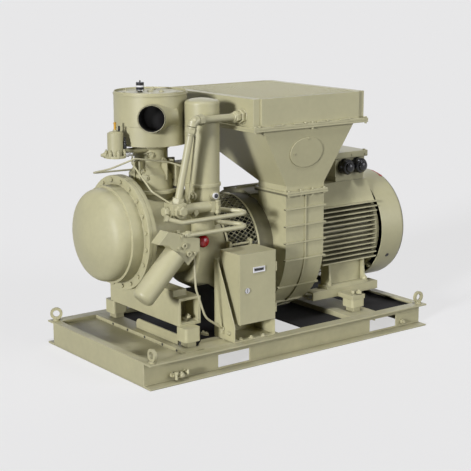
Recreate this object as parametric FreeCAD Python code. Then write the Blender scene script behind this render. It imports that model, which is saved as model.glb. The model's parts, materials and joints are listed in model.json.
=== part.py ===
import FreeCAD, Part
import math
import os

V = FreeCAD.Vector
X = V(1, 0, 0)
Y = V(0, 1, 0)
Z = V(0, 0, 1)

# Clearances between pieces, in millimetres
SEAT = 0.3
BEARING_CLEARANCE = 0.05
RUNNING = 2.0

# Chords in a rounded edge of a turned piece
ROUND_FACES = 4

# Skid: two long channels with their flanges outwards, two end channels, cross members
SKID_LENGTH = 2050.0
SKID_WIDTH = 1100.0
SKID_HEIGHT = 140.0
BEAM_FLANGE_WIDTH = 72.0
BEAM_WEB = 8.0
BEAM_FLANGE = 10.0
END_FLANGE_WIDTH = 52.0
FORK_POCKET_WIDTH = 221.0
FORK_POCKET_HEIGHT = 72.0
FORK_POCKET_SILL = 18.0
FORK_POCKET_LEFT = -424.5
FORK_POCKET_RIGHT = 716.5
CROSS_LEFT = -740.0
CROSS_WIDTH = 112.0
CROSS_DEPTH = 62.0
CROSS_WALL = 8.0
MOTOR_CROSS_LEFT = 450.0
MOTOR_CROSS_WIDTH = 210.0
GUSSET_LEFT = -534.0
GUSSET_RIGHT = -100.0
GUSSET_REACH = 156.0

# Lifting eyes on the corners
EYE_OUTER = 36.0
EYE_INNER = 20.0
EYE_THICK = 15.0
EYE_COLLAR = 20.0
EYE_COLLAR_HEIGHT = 10.0
EYE_INSET_X = 38.0
EYE_INSET_Y = 38.0

# Shaft line and separator axis
SHAFT_Z = 583.0
VESSEL_Z = 741.0

# Separator cover: dished head with a bolted flange
FLANGE_FACE_X = -870.0
FLANGE_RADIUS = 322.0
COVER_FLANGE = 25.0
BODY_FLANGE = 25.0
BOLT_CIRCLE = 297.0
COVER_BOLTS = 20
COVER_BOLT_WIDTH = 20.0
COVER_BOLT_HEIGHT = 9.0
SKIRT_RADIUS = 272.0
SKIRT_LENGTH = 72.0
HEAD_RADIUS = 259.0
HEAD_STRAIGHT = 22.0
HEAD_DEPTH = 120.0
HEAD_KNUCKLE = 75.0
HEAD_KNUCKLE_FACES = 5
HEAD_CROWN_FACES = 6
HEAD_WALL = 10.0

# Air end casting, rotors and drive cover
CASTING_RADIUS = 215.0
CASTING_END_X = -450.0
ROTOR_RADIUS = 95.0
MALE_LOBES = 4
FEMALE_LOBES = 6
ROTOR_CENTRES = 152.0
ROTOR_LEFT = -775.0
ROTOR_LENGTH = 285.0
ROTOR_GAP = 0.6
ROTOR_END_GAP = 1.0
MALE_WRAP = 220.0
LOBE_POINTS = 10
SCREW_STEPS = 14
CASE_WALL = 32.0
ROTOR_SHAFT = 30.0
BEARING_OUTER = 52.0
BEARING_WIDTH = 26.0
SEPARATOR_Z = 825.0
SEPARATOR_CHAMBER = 115.0
SEPARATOR_CHAMBER_END = -716.0
SEPARATOR_OUTER = 100.0
SEPARATOR_INNER = 62.0
SEPARATOR_LEFT = -1010.0
DISCHARGE_RADIUS = 18.0
INLET_PORT = 50.0
FOOT_HALF_LENGTH = 50.0
FOOT_HALF_WIDTH = 96.0
FOOT_TOP = 520.0
BELL_LEFT = -450.0
BELL_NECK = 190.0
BELL_FACE_X = -300.0
BELL_RADIUS = 262.0
BELL_WALL = 14.0

# Saddle under the casting
SADDLE_LEFT = -706.0
SADDLE_WIDTH = 146.0
SADDLE_HALF = 356.0
SADDLE_BOTTOM = 250.0
SADDLE_LEDGE = 408.0
SADDLE_TOP = 445.0
SADDLE_WALL = 16.0
SADDLE_FOOT_DEPTH = 132.0
SADDLE_STEP = 55.0
SADDLE_STEP_HALF = 300.0
HOLD_DOWN_BOLT = 30.0
HOLD_DOWN_HEIGHT = 20.0

# Mounts between the machine and the skid
MOUNT_LENGTH = 102.0
MOUNT_WIDTH = 96.0
MOUNT_GAP = 31.0
MOUNT_EDGE = 16.0
RUBBER_LENGTH = 54.0
RUBBER_WIDTH = 68.0
SADDLE_MOUNT_Y = 372.0
MOTOR_MOUNT_X = 560.0
MOTOR_MOUNT_Y = 385.0
MOUNT_RAIL_THICK = 10.0
MOUNT_RAIL_HEIGHT = 60.0
MOUNT_RAIL_LENGTH = 420.0
MOUNT_BRACKET = 27.0

# Motor and its rails
MOTOR_LEFT = 360.0
MOTOR_RIGHT = 812.0
MOTOR_CORE = 262.0
FIN_REACH = 312.0
FIN_THICK = 7.0
FIN_COUNT = 13
FIN_BOTTOM = 432.0
FIN_TOP = 778.0
FIN_INSET = 14.0
SHOULDER_SET = 27.0
CABLE_WAY = 30.0
SHOULDER_HALF = 205.0
SHOULDER_TOP = 905.0
MOTOR_FLANGE_RADIUS = 250.0
END_SHIELD = 26.0
MOTOR_FLANGE = 22.0
SHIELD_WAIST = 215.0
FAN_SHIELD_RADIUS = 305.0
SHIELD_HUB = 14.0
SHIELD_HUB_RADIUS = 120.0
COWL_ARM = 14.0
STATOR_OUTER = 240.0
STATOR_INNER = 142.0
STATOR_LEFT = 450.0
STATOR_LENGTH = 270.0
MOTOR_SHAFT = 40.0
MOTOR_BEARING_OUTER = 90.0
MOTOR_BEARING_WIDTH = 34.0
COWL_LEFT = 832.0
COWL_RIGHT = 1033.0
COWL_RADIUS = 339.0
COWL_WALL = 4.0
COWL_EDGE = 34.0
GRILLE_RADIUS = 232.0
GRILLE_RINGS = 3
GRILLE_BARS = 8
GRILLE_WIRE = 7.0
MOTOR_FAN_RADIUS = 290.0
MOTOR_FAN_LEFT = 880.0
MOTOR_FAN_WIDTH = 90.0
MOTOR_FAN_HUB = 70.0
MOTOR_FAN_BLADES = 7
RAIL_LEFT = 310.0
RAIL_RIGHT = 838.0
RAIL_OUTER = 302.0
RAIL_WIDTH = 84.0
RAIL_BOTTOM = 218.0
RAIL_TOP = 270.0
RAIL_WALL = 10.0
RAIL_TIE_INSET = 40.0
FOOT_LENGTH = 330.0
FOOT_THICK = 22.0
FOOT_RIB = 14.0
FOOT_RIB_INSET = 20.0

# Terminal box
TERMINAL_LEFT = 560.0
TERMINAL_RIGHT = 798.0
TERMINAL_HALF = 200.0
TERMINAL_BOTTOM = 935.0
TERMINAL_TOP = 1046.0
TERMINAL_LID = 38.0
TERMINAL_LID_REACH = 15.0
TERMINAL_WALL = 6.0
GLAND_RADIUS = 47.0
GLAND_LENGTH = 58.0
GLAND_DOME = 20.0
GLAND_BORE = 30.0
GLAND_BORE_INSIDE = 20.0
GLAND_X = (629.0, 733.0)
GLAND_Z = 996.0

# Fan, volute and inlet guard
VOLUTE_LEFT = 12.0
VOLUTE_RIGHT = 297.0
VOLUTE_WALL = 4.0
VOLUTE_FRONT = 400.0
SCROLL_STEP = 36.0
SCROLL_BACK = 38.0
SCROLL_DROP = 21.0
OUTLET_BACK = 144.0
OUTLET_Z = 908.0
RIB_HEIGHT = 11.0
BAND_HEIGHT = 8.0
RIB_THICK = 8.0
RIB_REACH = 10.0
RIB_PITCH = 100.0
RIB_COUNT_FRONT = 4
RIB_FIRST_Z = 828.0
RIB_COUNT_ROUND = 12
RIB_FIRST_ANGLE = 33.7
RIB_STEP_ANGLE = 22.7
INLET_RADIUS = 288.0
INLET_REACH = 118.0
FAN_RADIUS = 228.0
FAN_EYE = 150.0
FAN_BLADES = 12
FAN_BLADE_THICK = 4.0
FAN_LEFT = 44.0
FAN_RIGHT = 246.0
FAN_HUB = 70.0
FAN_HUB_LENGTH = 60.0
FAN_BLADE_LENGTH = 78.0
FAN_BLADE_LEAN = 40.0
FAN_BLADE_MIDDLE = 188.0
GUARD_HOOPS = 4
GUARD_BARS = 16
GUARD_WIRE = 6.0
GUARD_OVERLAP = 8.0
APRON_LEFT = -550.0
APRON_RIGHT = -112.0
APRON_FRONT = 152.0
APRON_SHEET = 4.0
APRON_BOTTOM = 40.0
APRON_TOP = 400.0
COUPLING_RADIUS = 105.0
COUPLING_LEFT = -268.0
COUPLING_RIGHT = -120.0
COUPLING_MIDDLE = -194.0
COUPLING_RING = 44.0
COUPLING_HUB = 62.0

# Duct and cooler
DUCT_TOP_LEFT = -190.0
DUCT_TOP_RIGHT = 480.0
DUCT_TOP_HALF = 443.0
DUCT_TOP_Z = 1296.0
DUCT_WALL = 4.0
FLANGE_PLATE = 11.0
FLANGE_BOLT = 13.0
FLANGE_BOLT_HEIGHT = 8.0
FLANGE_BOLT_INSET = 10.0
LOW_FLANGE_BOLTS = 4
DUCT_LIP = 24.0
DUCT_SIDE_LIP = 10.0
NECK_STRAIGHT = 34.0
COVER_X = 136.0
COVER_DROP = 142.0
COVER_HALF_WIDTH = 120.0
COVER_HALF_HEIGHT = 88.0
COVER_THICK = 6.0
COOLER_LEFT = -252.0
COOLER_RIGHT = 567.0
COOLER_MARGIN = 2.0
COOLER_BOTTOM = 1322.0
COOLER_TOP = 1478.0
COOLER_TANK = 52.0
COOLER_PLATE = 9.0
COOLER_LIP = 14.0
COOLER_RECESS = 12.0
COOLER_STRIP = 48.0
CORE_TUBES = 20
CORE_TUBE_THICK = 6.0
CORE_DROP = 4.0

# Intake, air filter
FILTER_X = -640.0
INTAKE_FLANGE = 150.0
INTAKE_BODY = 126.0
INTAKE_NECK = 94.0
INTAKE_BORE = 84.0
INTAKE_FLANGE_THICK = 19.0
INTAKE_NECK_Z = 1100.0
VALVE_SEAT_BORE = 60.0
VALVE_SEAT_THICK = 10.0
DRUM_OPENING = 88.0
VALVE_GUIDE_Z = 1010.0
VALVE_GUIDE = 20.0
VALVE_GUIDE_RADIUS = 20.0
VALVE_THICK = 8.0
VALVE_STEM_LENGTH = 146.0
INTAKE_SHOULDER_Z = 1060.0
DRUM_RADIUS = 203.0
DRUM_BOTTOM = 1227.0
DRUM_TOP = 1510.0
DRUM_SEAM = 1334.0
DRUM_WALL = 4.0
SEAM_GROOVE = 1.5
LID_RADIUS = 190.0
LID_DROP = 8.0
LID_THICK = 6.0
LID_LEDGE = 18.0
LID_NUT = 10.0
ELEMENT_GAP = 12.0
ELEMENT_OUTER = 140.0
ELEMENT_INNER = 88.0
SPOUT_SIDE = 135.0
SPOUT_FRONT = 215.0
SPOUT_DROP = 122.0
SPOUT_RADIUS = 76.0
SPOUT_BORE = 71.0
SPOUT_BEND = 120.0
SPOUT_HEADING = 52.8
SPOUT_TURN = 35.0
SPOUT_STRAIGHT = 30.0
SPOUT_ENTRY = 96.0
INDICATOR_X = -706.0
INDICATOR_RADIUS = 22.0
INDICATOR_HEIGHT = 58.0
INDICATOR_FOOT = 14.0
INDICATOR_STEM = 11.0
INDICATOR_BASE = 10.0
INDICATOR_NECK = 18.0
INDICATOR_TIP = 4.0
INDICATOR_TIP_HEIGHT = 10.0
VALVE_DISC_RADIUS = 76.0
VALVE_SEAT_Z = 1140.0
VALVE_STEM = 10.0

# Separator canister, its head, thermostat block
CANISTER = V(-464, -245, 0)
CANISTER_RADIUS = 96.5
CANISTER_SEAM = 1000.0
CANISTER_TOP = 1486.0
CANISTER_DOME = 30.0
CANISTER_EDGE = 18.0
CANISTER_COLLAR = 103.0
CANISTER_COLLAR_HEIGHT = 18.0
CANISTER_WALL = 4.0
HEAD_BOTTOM = 734.0
HEAD_FLARE_LOW = 870.0
HEAD_FLARE_HIGH = 930.0
HEAD_BORE = 30.0
HEAD_BOSS = CANISTER + V(8, -107, CANISTER_SEAM - 44)
HEAD_BOSS_RADIUS = 24.0
SIGHT_RADIUS = 17.0
SIGHT_DEPTH = 12.0
HEAD_WAIST = 66.0
BLOCK = V(-715, -345, 900)
BLOCK_HALF = 44.0
BLOCK_ARM = 30.0
PLUG_SMALL = 27.0
PLUG_LARGE = 37.0
PLUG_DEPTH = 16.0

# Oil filter on its sloping head
OIL_FILTER = V(-761, -402, 675)
OIL_HEAD = ((-889, 751), (-827, 815), (-621, 753), (-622, 686), (-698, 612), (-824, 738))
OIL_HEAD_ARM = (-735.0, -630.0, 680.0, 748.0)
OIL_FILTER_RADIUS = 63.0
OIL_FILTER_LENGTH = 312.0
OIL_FILTER_WALL = 3.0
OIL_FILTER_END = 30.0
OIL_HEAD_FRONT = 440.0
OIL_HEAD_BACK = 364.0

# Filler neck and cap
FILLER = V(-472, -215, 686)
FILLER_LENGTH = 62.0
FILLER_NECK = 27.0
CAP_RADIUS = 36.0
CAP_HEIGHT = 34.0
CAP_SKIRT = 24.0
FILLER_BORE = 17.0

# Pipes and hoses: each route is a list of corners with straight runs between them
AIR_PIPE_RADIUS = 20.0
AIR_PIPE_BEND = 46.0
AIR_PIPE_ROUTE = (V(-248, -336, 1377), V(-623, -385, 1385), V(-702, -345, 935))
AIR_NUT = 58.0
AIR_NUT_LENGTH = 34.0
OIL_PIPE_RADIUS = 12.5
OIL_PIPE_BEND = 42.0
OIL_PIPE_UPPER = (V(-823, -400, 880), V(-735, -440, 852), V(-250, -440, 855), V(-400, -262, 862))
OIL_PIPE_LOWER = (V(-750, -402, 788), V(-690, -440, 779), V(-250, -440, 779), V(-400, -262, 791))
OIL_NUT = 34.0
OIL_NUT_LENGTH = 18.0
CONTROL_TUBE_RADIUS = 5.0
CONTROL_TUBE_BEND = 30.0
CONTROL_TUBE_ROUTES = (
    (V(-630, -379, 1336), V(-600, -372, 1300), V(-630, -345, 925)),
    (V(-800, -62, 1190), V(-830, -100, 1140), V(-834, -300, 1010), V(-738, -345, 938)),
)
CONTROL_HOSE_ROUTE = (V(-722, 33, 1080), V(-985, 70, 1078), V(-985, -130, 1128), V(-840, -150, 1172),
                      V(-618, -153, 1132), V(-545, -197, 1102))
HOSE_RADIUS = 6.0
HOSE_BEND = 110.0
HOSE_COLLAR = 11.0
HOSE_COLLAR_LENGTH = 14.0
DRAIN_HOSE_ROUTE = (V(-640, -405, 672), V(-640, -425, 470), V(-580, -428, 300), V(-428, -391, 196))

# Control box with a hinged door on a bent bracket
BOX_LEFT = -394.0
BOX_RIGHT = -142.0
BOX_FRONT = -500.0
BOX_BACK = -312.0
BOX_BOTTOM = 237.0
BOX_TOP = 637.0
BOX_SHEET = 3.0
DOOR_DEPTH = 14.0
DOOR_GAP = 0.6
DOOR_RELIEF = 1.0
HINGE_RADIUS = 6.0
HINGE_LENGTH = 26.0
HINGE_GAP = 0.5
HINGE_KNUCKLE = 12.0
HINGE_PIN = 3.0
HINGE_HEIGHTS = (300.0, 540.0)
LOCK_INSET = 48.0
LOCK_Z = 430.0
LOCK_RADIUS = 16.0
LOCK_HEAD = 5.0
LOCK_STEM = 6.0
DISPLAY_X = -264.0
DISPLAY_Z = 541.0
DISPLAY_WIDTH = 84.0
DISPLAY_HEIGHT = 32.0
DISPLAY_THICK = 5.0
CAM_LENGTH = 42.0
CAM_WIDTH = 10.0
CAM_THICK = 3.0
BOX_LIP = 16.0
BRACKET_LEFT = -430.0
BRACKET_SHEET = 5.0
BRACKET_FOOT_INSET = 52.0
BRACKET_TOP = 588.0
BRACKET_STRIP = 27.0

# Pressure regulator at the back left of the filter
REGULATOR = V(FILTER_X - 268, -58, DRUM_BOTTOM - 55)
REGULATOR_RADIUS = 43.0
REGULATOR_HEIGHT = 136.0
REGULATOR_ARM = 16.0
REGULATOR_FOOT = 14.0
KNOB_RADIUS = 7.0
KNOB_HEIGHT = 58.0
KNOB_BAR = 18.0
KNOB_BAR_THICK = 5.0

# Drain fittings in the front beam
DRAIN_X = -846.0
DRAIN_PLUG_X = -764.0
DRAIN_RIGHT_X = 874.0
DRAIN_Z = 40.0
DRAIN_RADIUS = 13.0
DRAIN_REACH = 30.0

# The skid's centre lies beside the frame's origin, which is under the middle of the whole machine
HEAD_TIP_X = FLANGE_FACE_X - SKIRT_LENGTH - HEAD_STRAIGHT - HEAD_DEPTH
ORIGIN_SHIFT = -(HEAD_TIP_X + COWL_RIGHT) / 2
COOLER_HALF = DUCT_TOP_HALF + COOLER_MARGIN
BRACKET_FOOT = SKID_WIDTH / 2 - BRACKET_FOOT_INSET
SPOUT = V(FILTER_X - SPOUT_SIDE, -SPOUT_FRONT, DRUM_TOP - SPOUT_DROP)


def box(x0, x1, y0, y1, z0, z1):
    return Part.makeBox(x1 - x0, y1 - y0, z1 - z0, V(x0, y0, z0))


def rod(radius, length, base, axis):
    return Part.makeCylinder(radius, length, base, axis)


def ring(outer, inner, length, base, axis):
    return rod(outer, length, base, axis).cut(rod(inner, length, base, axis))


def polygon(points):
    return Part.Face(Part.makePolygon(points + points[:1]))


def prism(points, depth):
    return polygon(points).extrude(depth)


def across(axis):
    """Two unit directions square to an axis."""
    helper = Z if abs(axis.dot(Z)) < 0.9 else X
    first = axis.cross(helper)
    first.normalize()
    return first, axis.cross(first)


def many_sided(sides, radius, height, base, axis):
    """A bar with flats, such as a bolt head or a plug; radius is to its corners."""
    unit = V(axis)
    unit.normalize()
    first, second = across(unit)
    corners = []
    for step in range(sides):
        angle = 2 * math.pi * (step + 0.5) / sides
        corners.append(base + first * (radius * math.cos(angle)) + second * (radius * math.sin(angle)))
    return prism(corners, unit * height)


def hexagon(width, height, base, axis):
    return many_sided(6, width / math.sqrt(3), height, base, axis)


def turned(profile, centre, axis):
    """A solid turned about an axis; the profile is (distance along it, radius) pairs."""
    unit = V(axis)
    unit.normalize()
    first = across(unit)[0]
    points = [centre + unit * along + first * radius for along, radius in profile]
    return polygon(points).revolve(centre, unit, 360)


def rounded(centre, radius, start, stop, steps):
    """Profile points on an arc, from one angle to another in degrees, measured from the axis."""
    points = []
    for step in range(steps + 1):
        angle = math.radians(start + (stop - start) * step / steps)
        points.append((centre[0] + radius * math.cos(angle), centre[1] + radius * math.sin(angle)))
    return points


def joined(shapes):
    whole = shapes[0].fuse(shapes[1:]) if len(shapes) > 1 else shapes[0]
    return whole.removeSplitter()


def mirrored_y(shape):
    return shape.mirror(V(0, 0, 0), Y)


def group(shapes):
    return Part.makeCompound(shapes)


def tube_along(points, radius, bend):
    """A round bar or pipe along straight runs joined by tangent arcs."""
    edges = []
    start = points[0]
    for before, corner, after in zip(points, points[1:], points[2:]):
        inward = (before - corner).normalize()
        outward = (after - corner).normalize()
        turn = math.pi - inward.getAngle(outward)
        reach = bend * math.tan(turn / 2)
        first = corner + inward * reach
        last = corner + outward * reach
        middle = (inward + outward).normalize()
        centre_distance = bend / math.cos(turn / 2)
        crown = corner + middle * (centre_distance - bend)
        edges.append(Part.LineSegment(start, first).toShape())
        edges.append(Part.Arc(first, crown, last).toShape())
        start = last
    edges.append(Part.LineSegment(start, points[-1]).toShape())
    path = Part.Wire(edges)
    section = Part.Wire([Part.Circle(points[0], points[1] - points[0], radius).toShape()])
    return path.makePipeShell([section], True, False)


def seated(shape, *supports):
    """A piece cut back to the faces it sits against."""
    for support in supports:
        shape = shape.cut(support)
    return shape


def main_piece(shape):
    """The largest solid left after a cut."""
    return max(shape.Solids, key=lambda solid: solid.Volume)


def save(name, shape):
    placed = shape.copy()
    placed.translate(V(ORIGIN_SHIFT, 0, 0))
    placed.exportStep(os.path.join("parts", name + ".step"))


BEAM_OUTER = SKID_WIDTH / 2
WEB_OUTER = BEAM_OUTER - BEAM_FLANGE_WIDTH + BEAM_WEB
WEB_INNER = BEAM_OUTER - BEAM_FLANGE_WIDTH
SKID_END = SKID_LENGTH / 2


def skid_beam():
    """The front beam: a channel with its back to the middle and two fork pockets."""
    outline = [
        V(-SKID_END, -WEB_INNER, 0),
        V(-SKID_END, -BEAM_OUTER, 0),
        V(-SKID_END, -BEAM_OUTER, BEAM_FLANGE),
        V(-SKID_END, -WEB_OUTER, BEAM_FLANGE),
        V(-SKID_END, -WEB_OUTER, SKID_HEIGHT - BEAM_FLANGE),
        V(-SKID_END, -BEAM_OUTER, SKID_HEIGHT - BEAM_FLANGE),
        V(-SKID_END, -BEAM_OUTER, SKID_HEIGHT),
        V(-SKID_END, -WEB_INNER, SKID_HEIGHT),
    ]
    beam = prism(outline, X * SKID_LENGTH)
    for centre in (FORK_POCKET_LEFT, FORK_POCKET_RIGHT):
        beam = beam.cut(box(centre - FORK_POCKET_WIDTH / 2, centre + FORK_POCKET_WIDTH / 2,
                            -WEB_OUTER - 1, -WEB_INNER + 1,
                            FORK_POCKET_SILL, FORK_POCKET_SILL + FORK_POCKET_HEIGHT))
    return beam


def skid_end(side):
    """An end channel between the beams; side is -1 at the air end and 1 at the motor."""
    outline = [
        V(side * SKID_END, -WEB_INNER, 0),
        V(side * (SKID_END - END_FLANGE_WIDTH), -WEB_INNER, 0),
        V(side * (SKID_END - END_FLANGE_WIDTH), -WEB_INNER, BEAM_FLANGE),
        V(side * (SKID_END - BEAM_WEB), -WEB_INNER, BEAM_FLANGE),
        V(side * (SKID_END - BEAM_WEB), -WEB_INNER, SKID_HEIGHT - BEAM_FLANGE),
        V(side * (SKID_END - END_FLANGE_WIDTH), -WEB_INNER, SKID_HEIGHT - BEAM_FLANGE),
        V(side * (SKID_END - END_FLANGE_WIDTH), -WEB_INNER, SKID_HEIGHT),
        V(side * SKID_END, -WEB_INNER, SKID_HEIGHT),
    ]
    return prism(outline, Y * (2 * WEB_INNER))


def cross_member(left, width):
    """A channel laid flat across the skid, open side down."""
    low = SKID_HEIGHT - CROSS_DEPTH
    solid = box(left, left + width, -WEB_INNER, WEB_INNER, low, SKID_HEIGHT)
    hollow = box(left + CROSS_WALL, left + width - CROSS_WALL, -WEB_INNER, WEB_INNER,
                 low, SKID_HEIGHT - CROSS_WALL)
    return solid.cut(hollow)


def cross_members():
    low = SKID_HEIGHT - BEAM_FLANGE
    back = -WEB_INNER + GUSSET_REACH
    cross_right = CROSS_LEFT + CROSS_WIDTH
    gusset = prism([V(cross_right, -WEB_INNER, low), V(GUSSET_RIGHT, -WEB_INNER, low), V(GUSSET_RIGHT, back, low),
                    V(GUSSET_LEFT, back, low), V(cross_right, back - (GUSSET_LEFT - cross_right), low)],
                   Z * BEAM_FLANGE)
    return group([cross_member(CROSS_LEFT, CROSS_WIDTH),
                  cross_member(MOTOR_CROSS_LEFT, MOTOR_CROSS_WIDTH),
                  gusset, mount_rail()])


def lifting_eye(x, y, heading):
    """An eye bolt; heading turns its ring about the vertical."""
    low = SKID_HEIGHT
    centre = V(x, y, low + EYE_COLLAR_HEIGHT + EYE_OUTER - 4)
    facing = V(math.cos(math.radians(heading)), math.sin(math.radians(heading)), 0)
    loop = ring(EYE_OUTER, EYE_INNER, EYE_THICK, centre - facing * (EYE_THICK / 2), facing)
    collar = rod(EYE_COLLAR, EYE_COLLAR_HEIGHT, V(x, y, low), Z)
    return joined([loop, collar])


def lifting_eyes():
    x = SKID_END - EYE_INSET_X
    y = BEAM_OUTER - EYE_INSET_Y
    return group([lifting_eye(-x, -y, 0), lifting_eye(-x, y, 60),
                  lifting_eye(x, -y, 90), lifting_eye(x, y, 60)])


def machine_mount(x, y, top):
    """A rubber mount under its cast housing."""
    low = SKID_HEIGHT + MOUNT_GAP
    block = box(x - MOUNT_LENGTH / 2, x + MOUNT_LENGTH / 2, y - MOUNT_WIDTH / 2, y + MOUNT_WIDTH / 2, low, top)
    upright = [edge for edge in block.Edges
               if abs(edge.Vertexes[0].X - edge.Vertexes[1].X) < 1e-6
               and abs(edge.Vertexes[0].Y - edge.Vertexes[1].Y) < 1e-6]
    block = block.makeFillet(MOUNT_EDGE, upright)
    rubber = box(x - RUBBER_LENGTH / 2, x + RUBBER_LENGTH / 2, y - RUBBER_WIDTH / 2, y + RUBBER_WIDTH / 2,
                 SKID_HEIGHT, low)
    return joined([block, rubber])


def mount_rail():
    """The stop plate with a rounded end that stands beside the front saddle mount."""
    left = SADDLE_LEFT + MOUNT_RAIL_THICK
    front = -(SADDLE_MOUNT_Y - MOUNT_WIDTH / 2)
    back = front + MOUNT_RAIL_LENGTH
    low = SKID_HEIGHT
    high = SKID_HEIGHT + MOUNT_RAIL_HEIGHT
    curve = MOUNT_RAIL_HEIGHT / 2
    straight = [
        Part.LineSegment(V(left, front, low), V(left, front, high)).toShape(),
        Part.LineSegment(V(left, front, high), V(left, back - curve, high)).toShape(),
        Part.Arc(V(left, back - curve, high), V(left, back - curve + curve * math.sin(math.pi / 4),
                 high - curve + curve * math.cos(math.pi / 4)), V(left, back, high - curve)).toShape(),
        Part.LineSegment(V(left, back, high - curve), V(left, back, low)).toShape(),
        Part.LineSegment(V(left, back, low), V(left, front, low)).toShape(),
    ]
    return Part.Face(Part.Wire(straight)).extrude(X * MOUNT_RAIL_THICK)


def vessel_saddle():
    """The cast bridge under the air end, with a hollow foot at each side."""
    right = SADDLE_LEFT + SADDLE_WIDTH
    beam = box(SADDLE_LEFT, right, -SADDLE_HALF, SADDLE_HALF, SADDLE_BOTTOM, SADDLE_LEDGE)
    step = box(SADDLE_LEFT, right - SADDLE_STEP, -SADDLE_STEP_HALF, SADDLE_STEP_HALF,
               SADDLE_LEDGE, SADDLE_TOP)
    solid = joined([beam, step])
    foot = box(SADDLE_LEFT + SADDLE_WALL, right - SADDLE_WALL, -SADDLE_HALF - 1,
               -SADDLE_HALF + SADDLE_FOOT_DEPTH, SADDLE_BOTTOM + SADDLE_WALL, SADDLE_LEDGE - SADDLE_WALL)
    solid = solid.cut(foot).cut(mirrored_y(foot))
    bolt_x = SADDLE_LEFT + SADDLE_WIDTH / 2
    bolt_y = SADDLE_HALF - SADDLE_FOOT_DEPTH / 3
    bolts = [hexagon(HOLD_DOWN_BOLT, HOLD_DOWN_HEIGHT, V(bolt_x, side * bolt_y, SADDLE_BOTTOM + SADDLE_WALL), Z)
             for side in (-1, 1)]
    return group([solid] + bolts)


def motor_rail():
    """The front rail under the motor feet, with the bracket that reaches over its mount."""
    outer = box(RAIL_LEFT, RAIL_RIGHT, -RAIL_OUTER, -RAIL_OUTER + RAIL_WIDTH, RAIL_BOTTOM, RAIL_TOP)
    hollow = box(RAIL_LEFT, RAIL_RIGHT, -RAIL_OUTER + RAIL_WALL, -RAIL_OUTER + RAIL_WIDTH,
                 RAIL_BOTTOM + RAIL_WALL, RAIL_TOP - RAIL_WALL)
    bracket = box(MOTOR_MOUNT_X - MOUNT_LENGTH / 2, MOTOR_MOUNT_X + MOUNT_LENGTH / 2,
                  -MOTOR_MOUNT_Y - MOUNT_WIDTH / 2, -RAIL_OUTER, RAIL_BOTTOM, RAIL_BOTTOM + MOUNT_BRACKET)
    bolt = hexagon(HOLD_DOWN_BOLT, HOLD_DOWN_HEIGHT,
                   V(MOTOR_MOUNT_X, -MOTOR_MOUNT_Y, RAIL_BOTTOM + MOUNT_BRACKET), Z)
    return group([joined([outer.cut(hollow), bracket]), bolt])


def motor_rails():
    front = motor_rail()
    left = RAIL_LEFT + RAIL_TIE_INSET
    inner = RAIL_OUTER - RAIL_WIDTH
    tie = box(left, left + RAIL_WIDTH, -inner, inner, RAIL_BOTTOM, RAIL_BOTTOM + RAIL_WALL)
    return group(front.Solids + mirrored_y(front).Solids + [tie])


def motor_foot():
    """One ribbed foot along the front of the motor frame."""
    left = (MOTOR_LEFT + MOTOR_RIGHT - FOOT_LENGTH) / 2
    inner = -RAIL_OUTER + RAIL_WIDTH
    plate = box(left, left + FOOT_LENGTH, -RAIL_OUTER, inner, RAIL_TOP, RAIL_TOP + FOOT_THICK)
    low = RAIL_TOP + FOOT_THICK
    ribs = []
    for place in (left + FOOT_RIB_INSET, left + FOOT_LENGTH - FOOT_RIB_INSET - FOOT_RIB):
        ribs.append(prism([V(place, -RAIL_OUTER, low), V(place, inner, low), V(place, inner, FIN_BOTTOM),
                           V(place, -RAIL_OUTER + FOOT_RIB, FIN_BOTTOM)], X * FOOT_RIB))
    return [plate] + ribs


def motor_frame():
    length = MOTOR_RIGHT - MOTOR_LEFT
    solids = [rod(MOTOR_CORE, length, V(MOTOR_LEFT, 0, SHAFT_Z), X)]
    pitch = (FIN_TOP - FIN_BOTTOM) / (FIN_COUNT - 1)
    for step in range(FIN_COUNT):
        middle = FIN_BOTTOM + step * pitch
        solids.append(box(MOTOR_LEFT + FIN_INSET, MOTOR_RIGHT, -FIN_REACH, FIN_REACH,
                          middle - FIN_THICK / 2, middle + FIN_THICK / 2))
    shoulder = [V(MOTOR_LEFT, -FIN_REACH + SHOULDER_SET, FIN_TOP), V(MOTOR_LEFT, -SHOULDER_HALF, SHOULDER_TOP),
                V(MOTOR_LEFT, SHOULDER_HALF, SHOULDER_TOP), V(MOTOR_LEFT, FIN_REACH - SHOULDER_SET, FIN_TOP)]
    solids.append(prism(shoulder, X * length))
    pedestal = box(TERMINAL_LEFT + TERMINAL_WALL, TERMINAL_RIGHT - TERMINAL_WALL, -SHOULDER_HALF + TERMINAL_WALL,
                   SHOULDER_HALF - TERMINAL_WALL, SHOULDER_TOP, TERMINAL_BOTTOM)
    front_foot = motor_foot()
    solids = solids + [pedestal] + front_foot + [mirrored_y(piece) for piece in front_foot]
    bore = rod(STATOR_OUTER, length + 2, V(MOTOR_LEFT - 1, 0, SHAFT_Z), X)
    cable_way = rod(CABLE_WAY, TERMINAL_BOTTOM - SHAFT_Z,
                    V((TERMINAL_LEFT + TERMINAL_RIGHT) / 2, 0, SHAFT_Z + 1), Z)
    return joined(solids).cut(bore).cut(cable_way)


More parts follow.
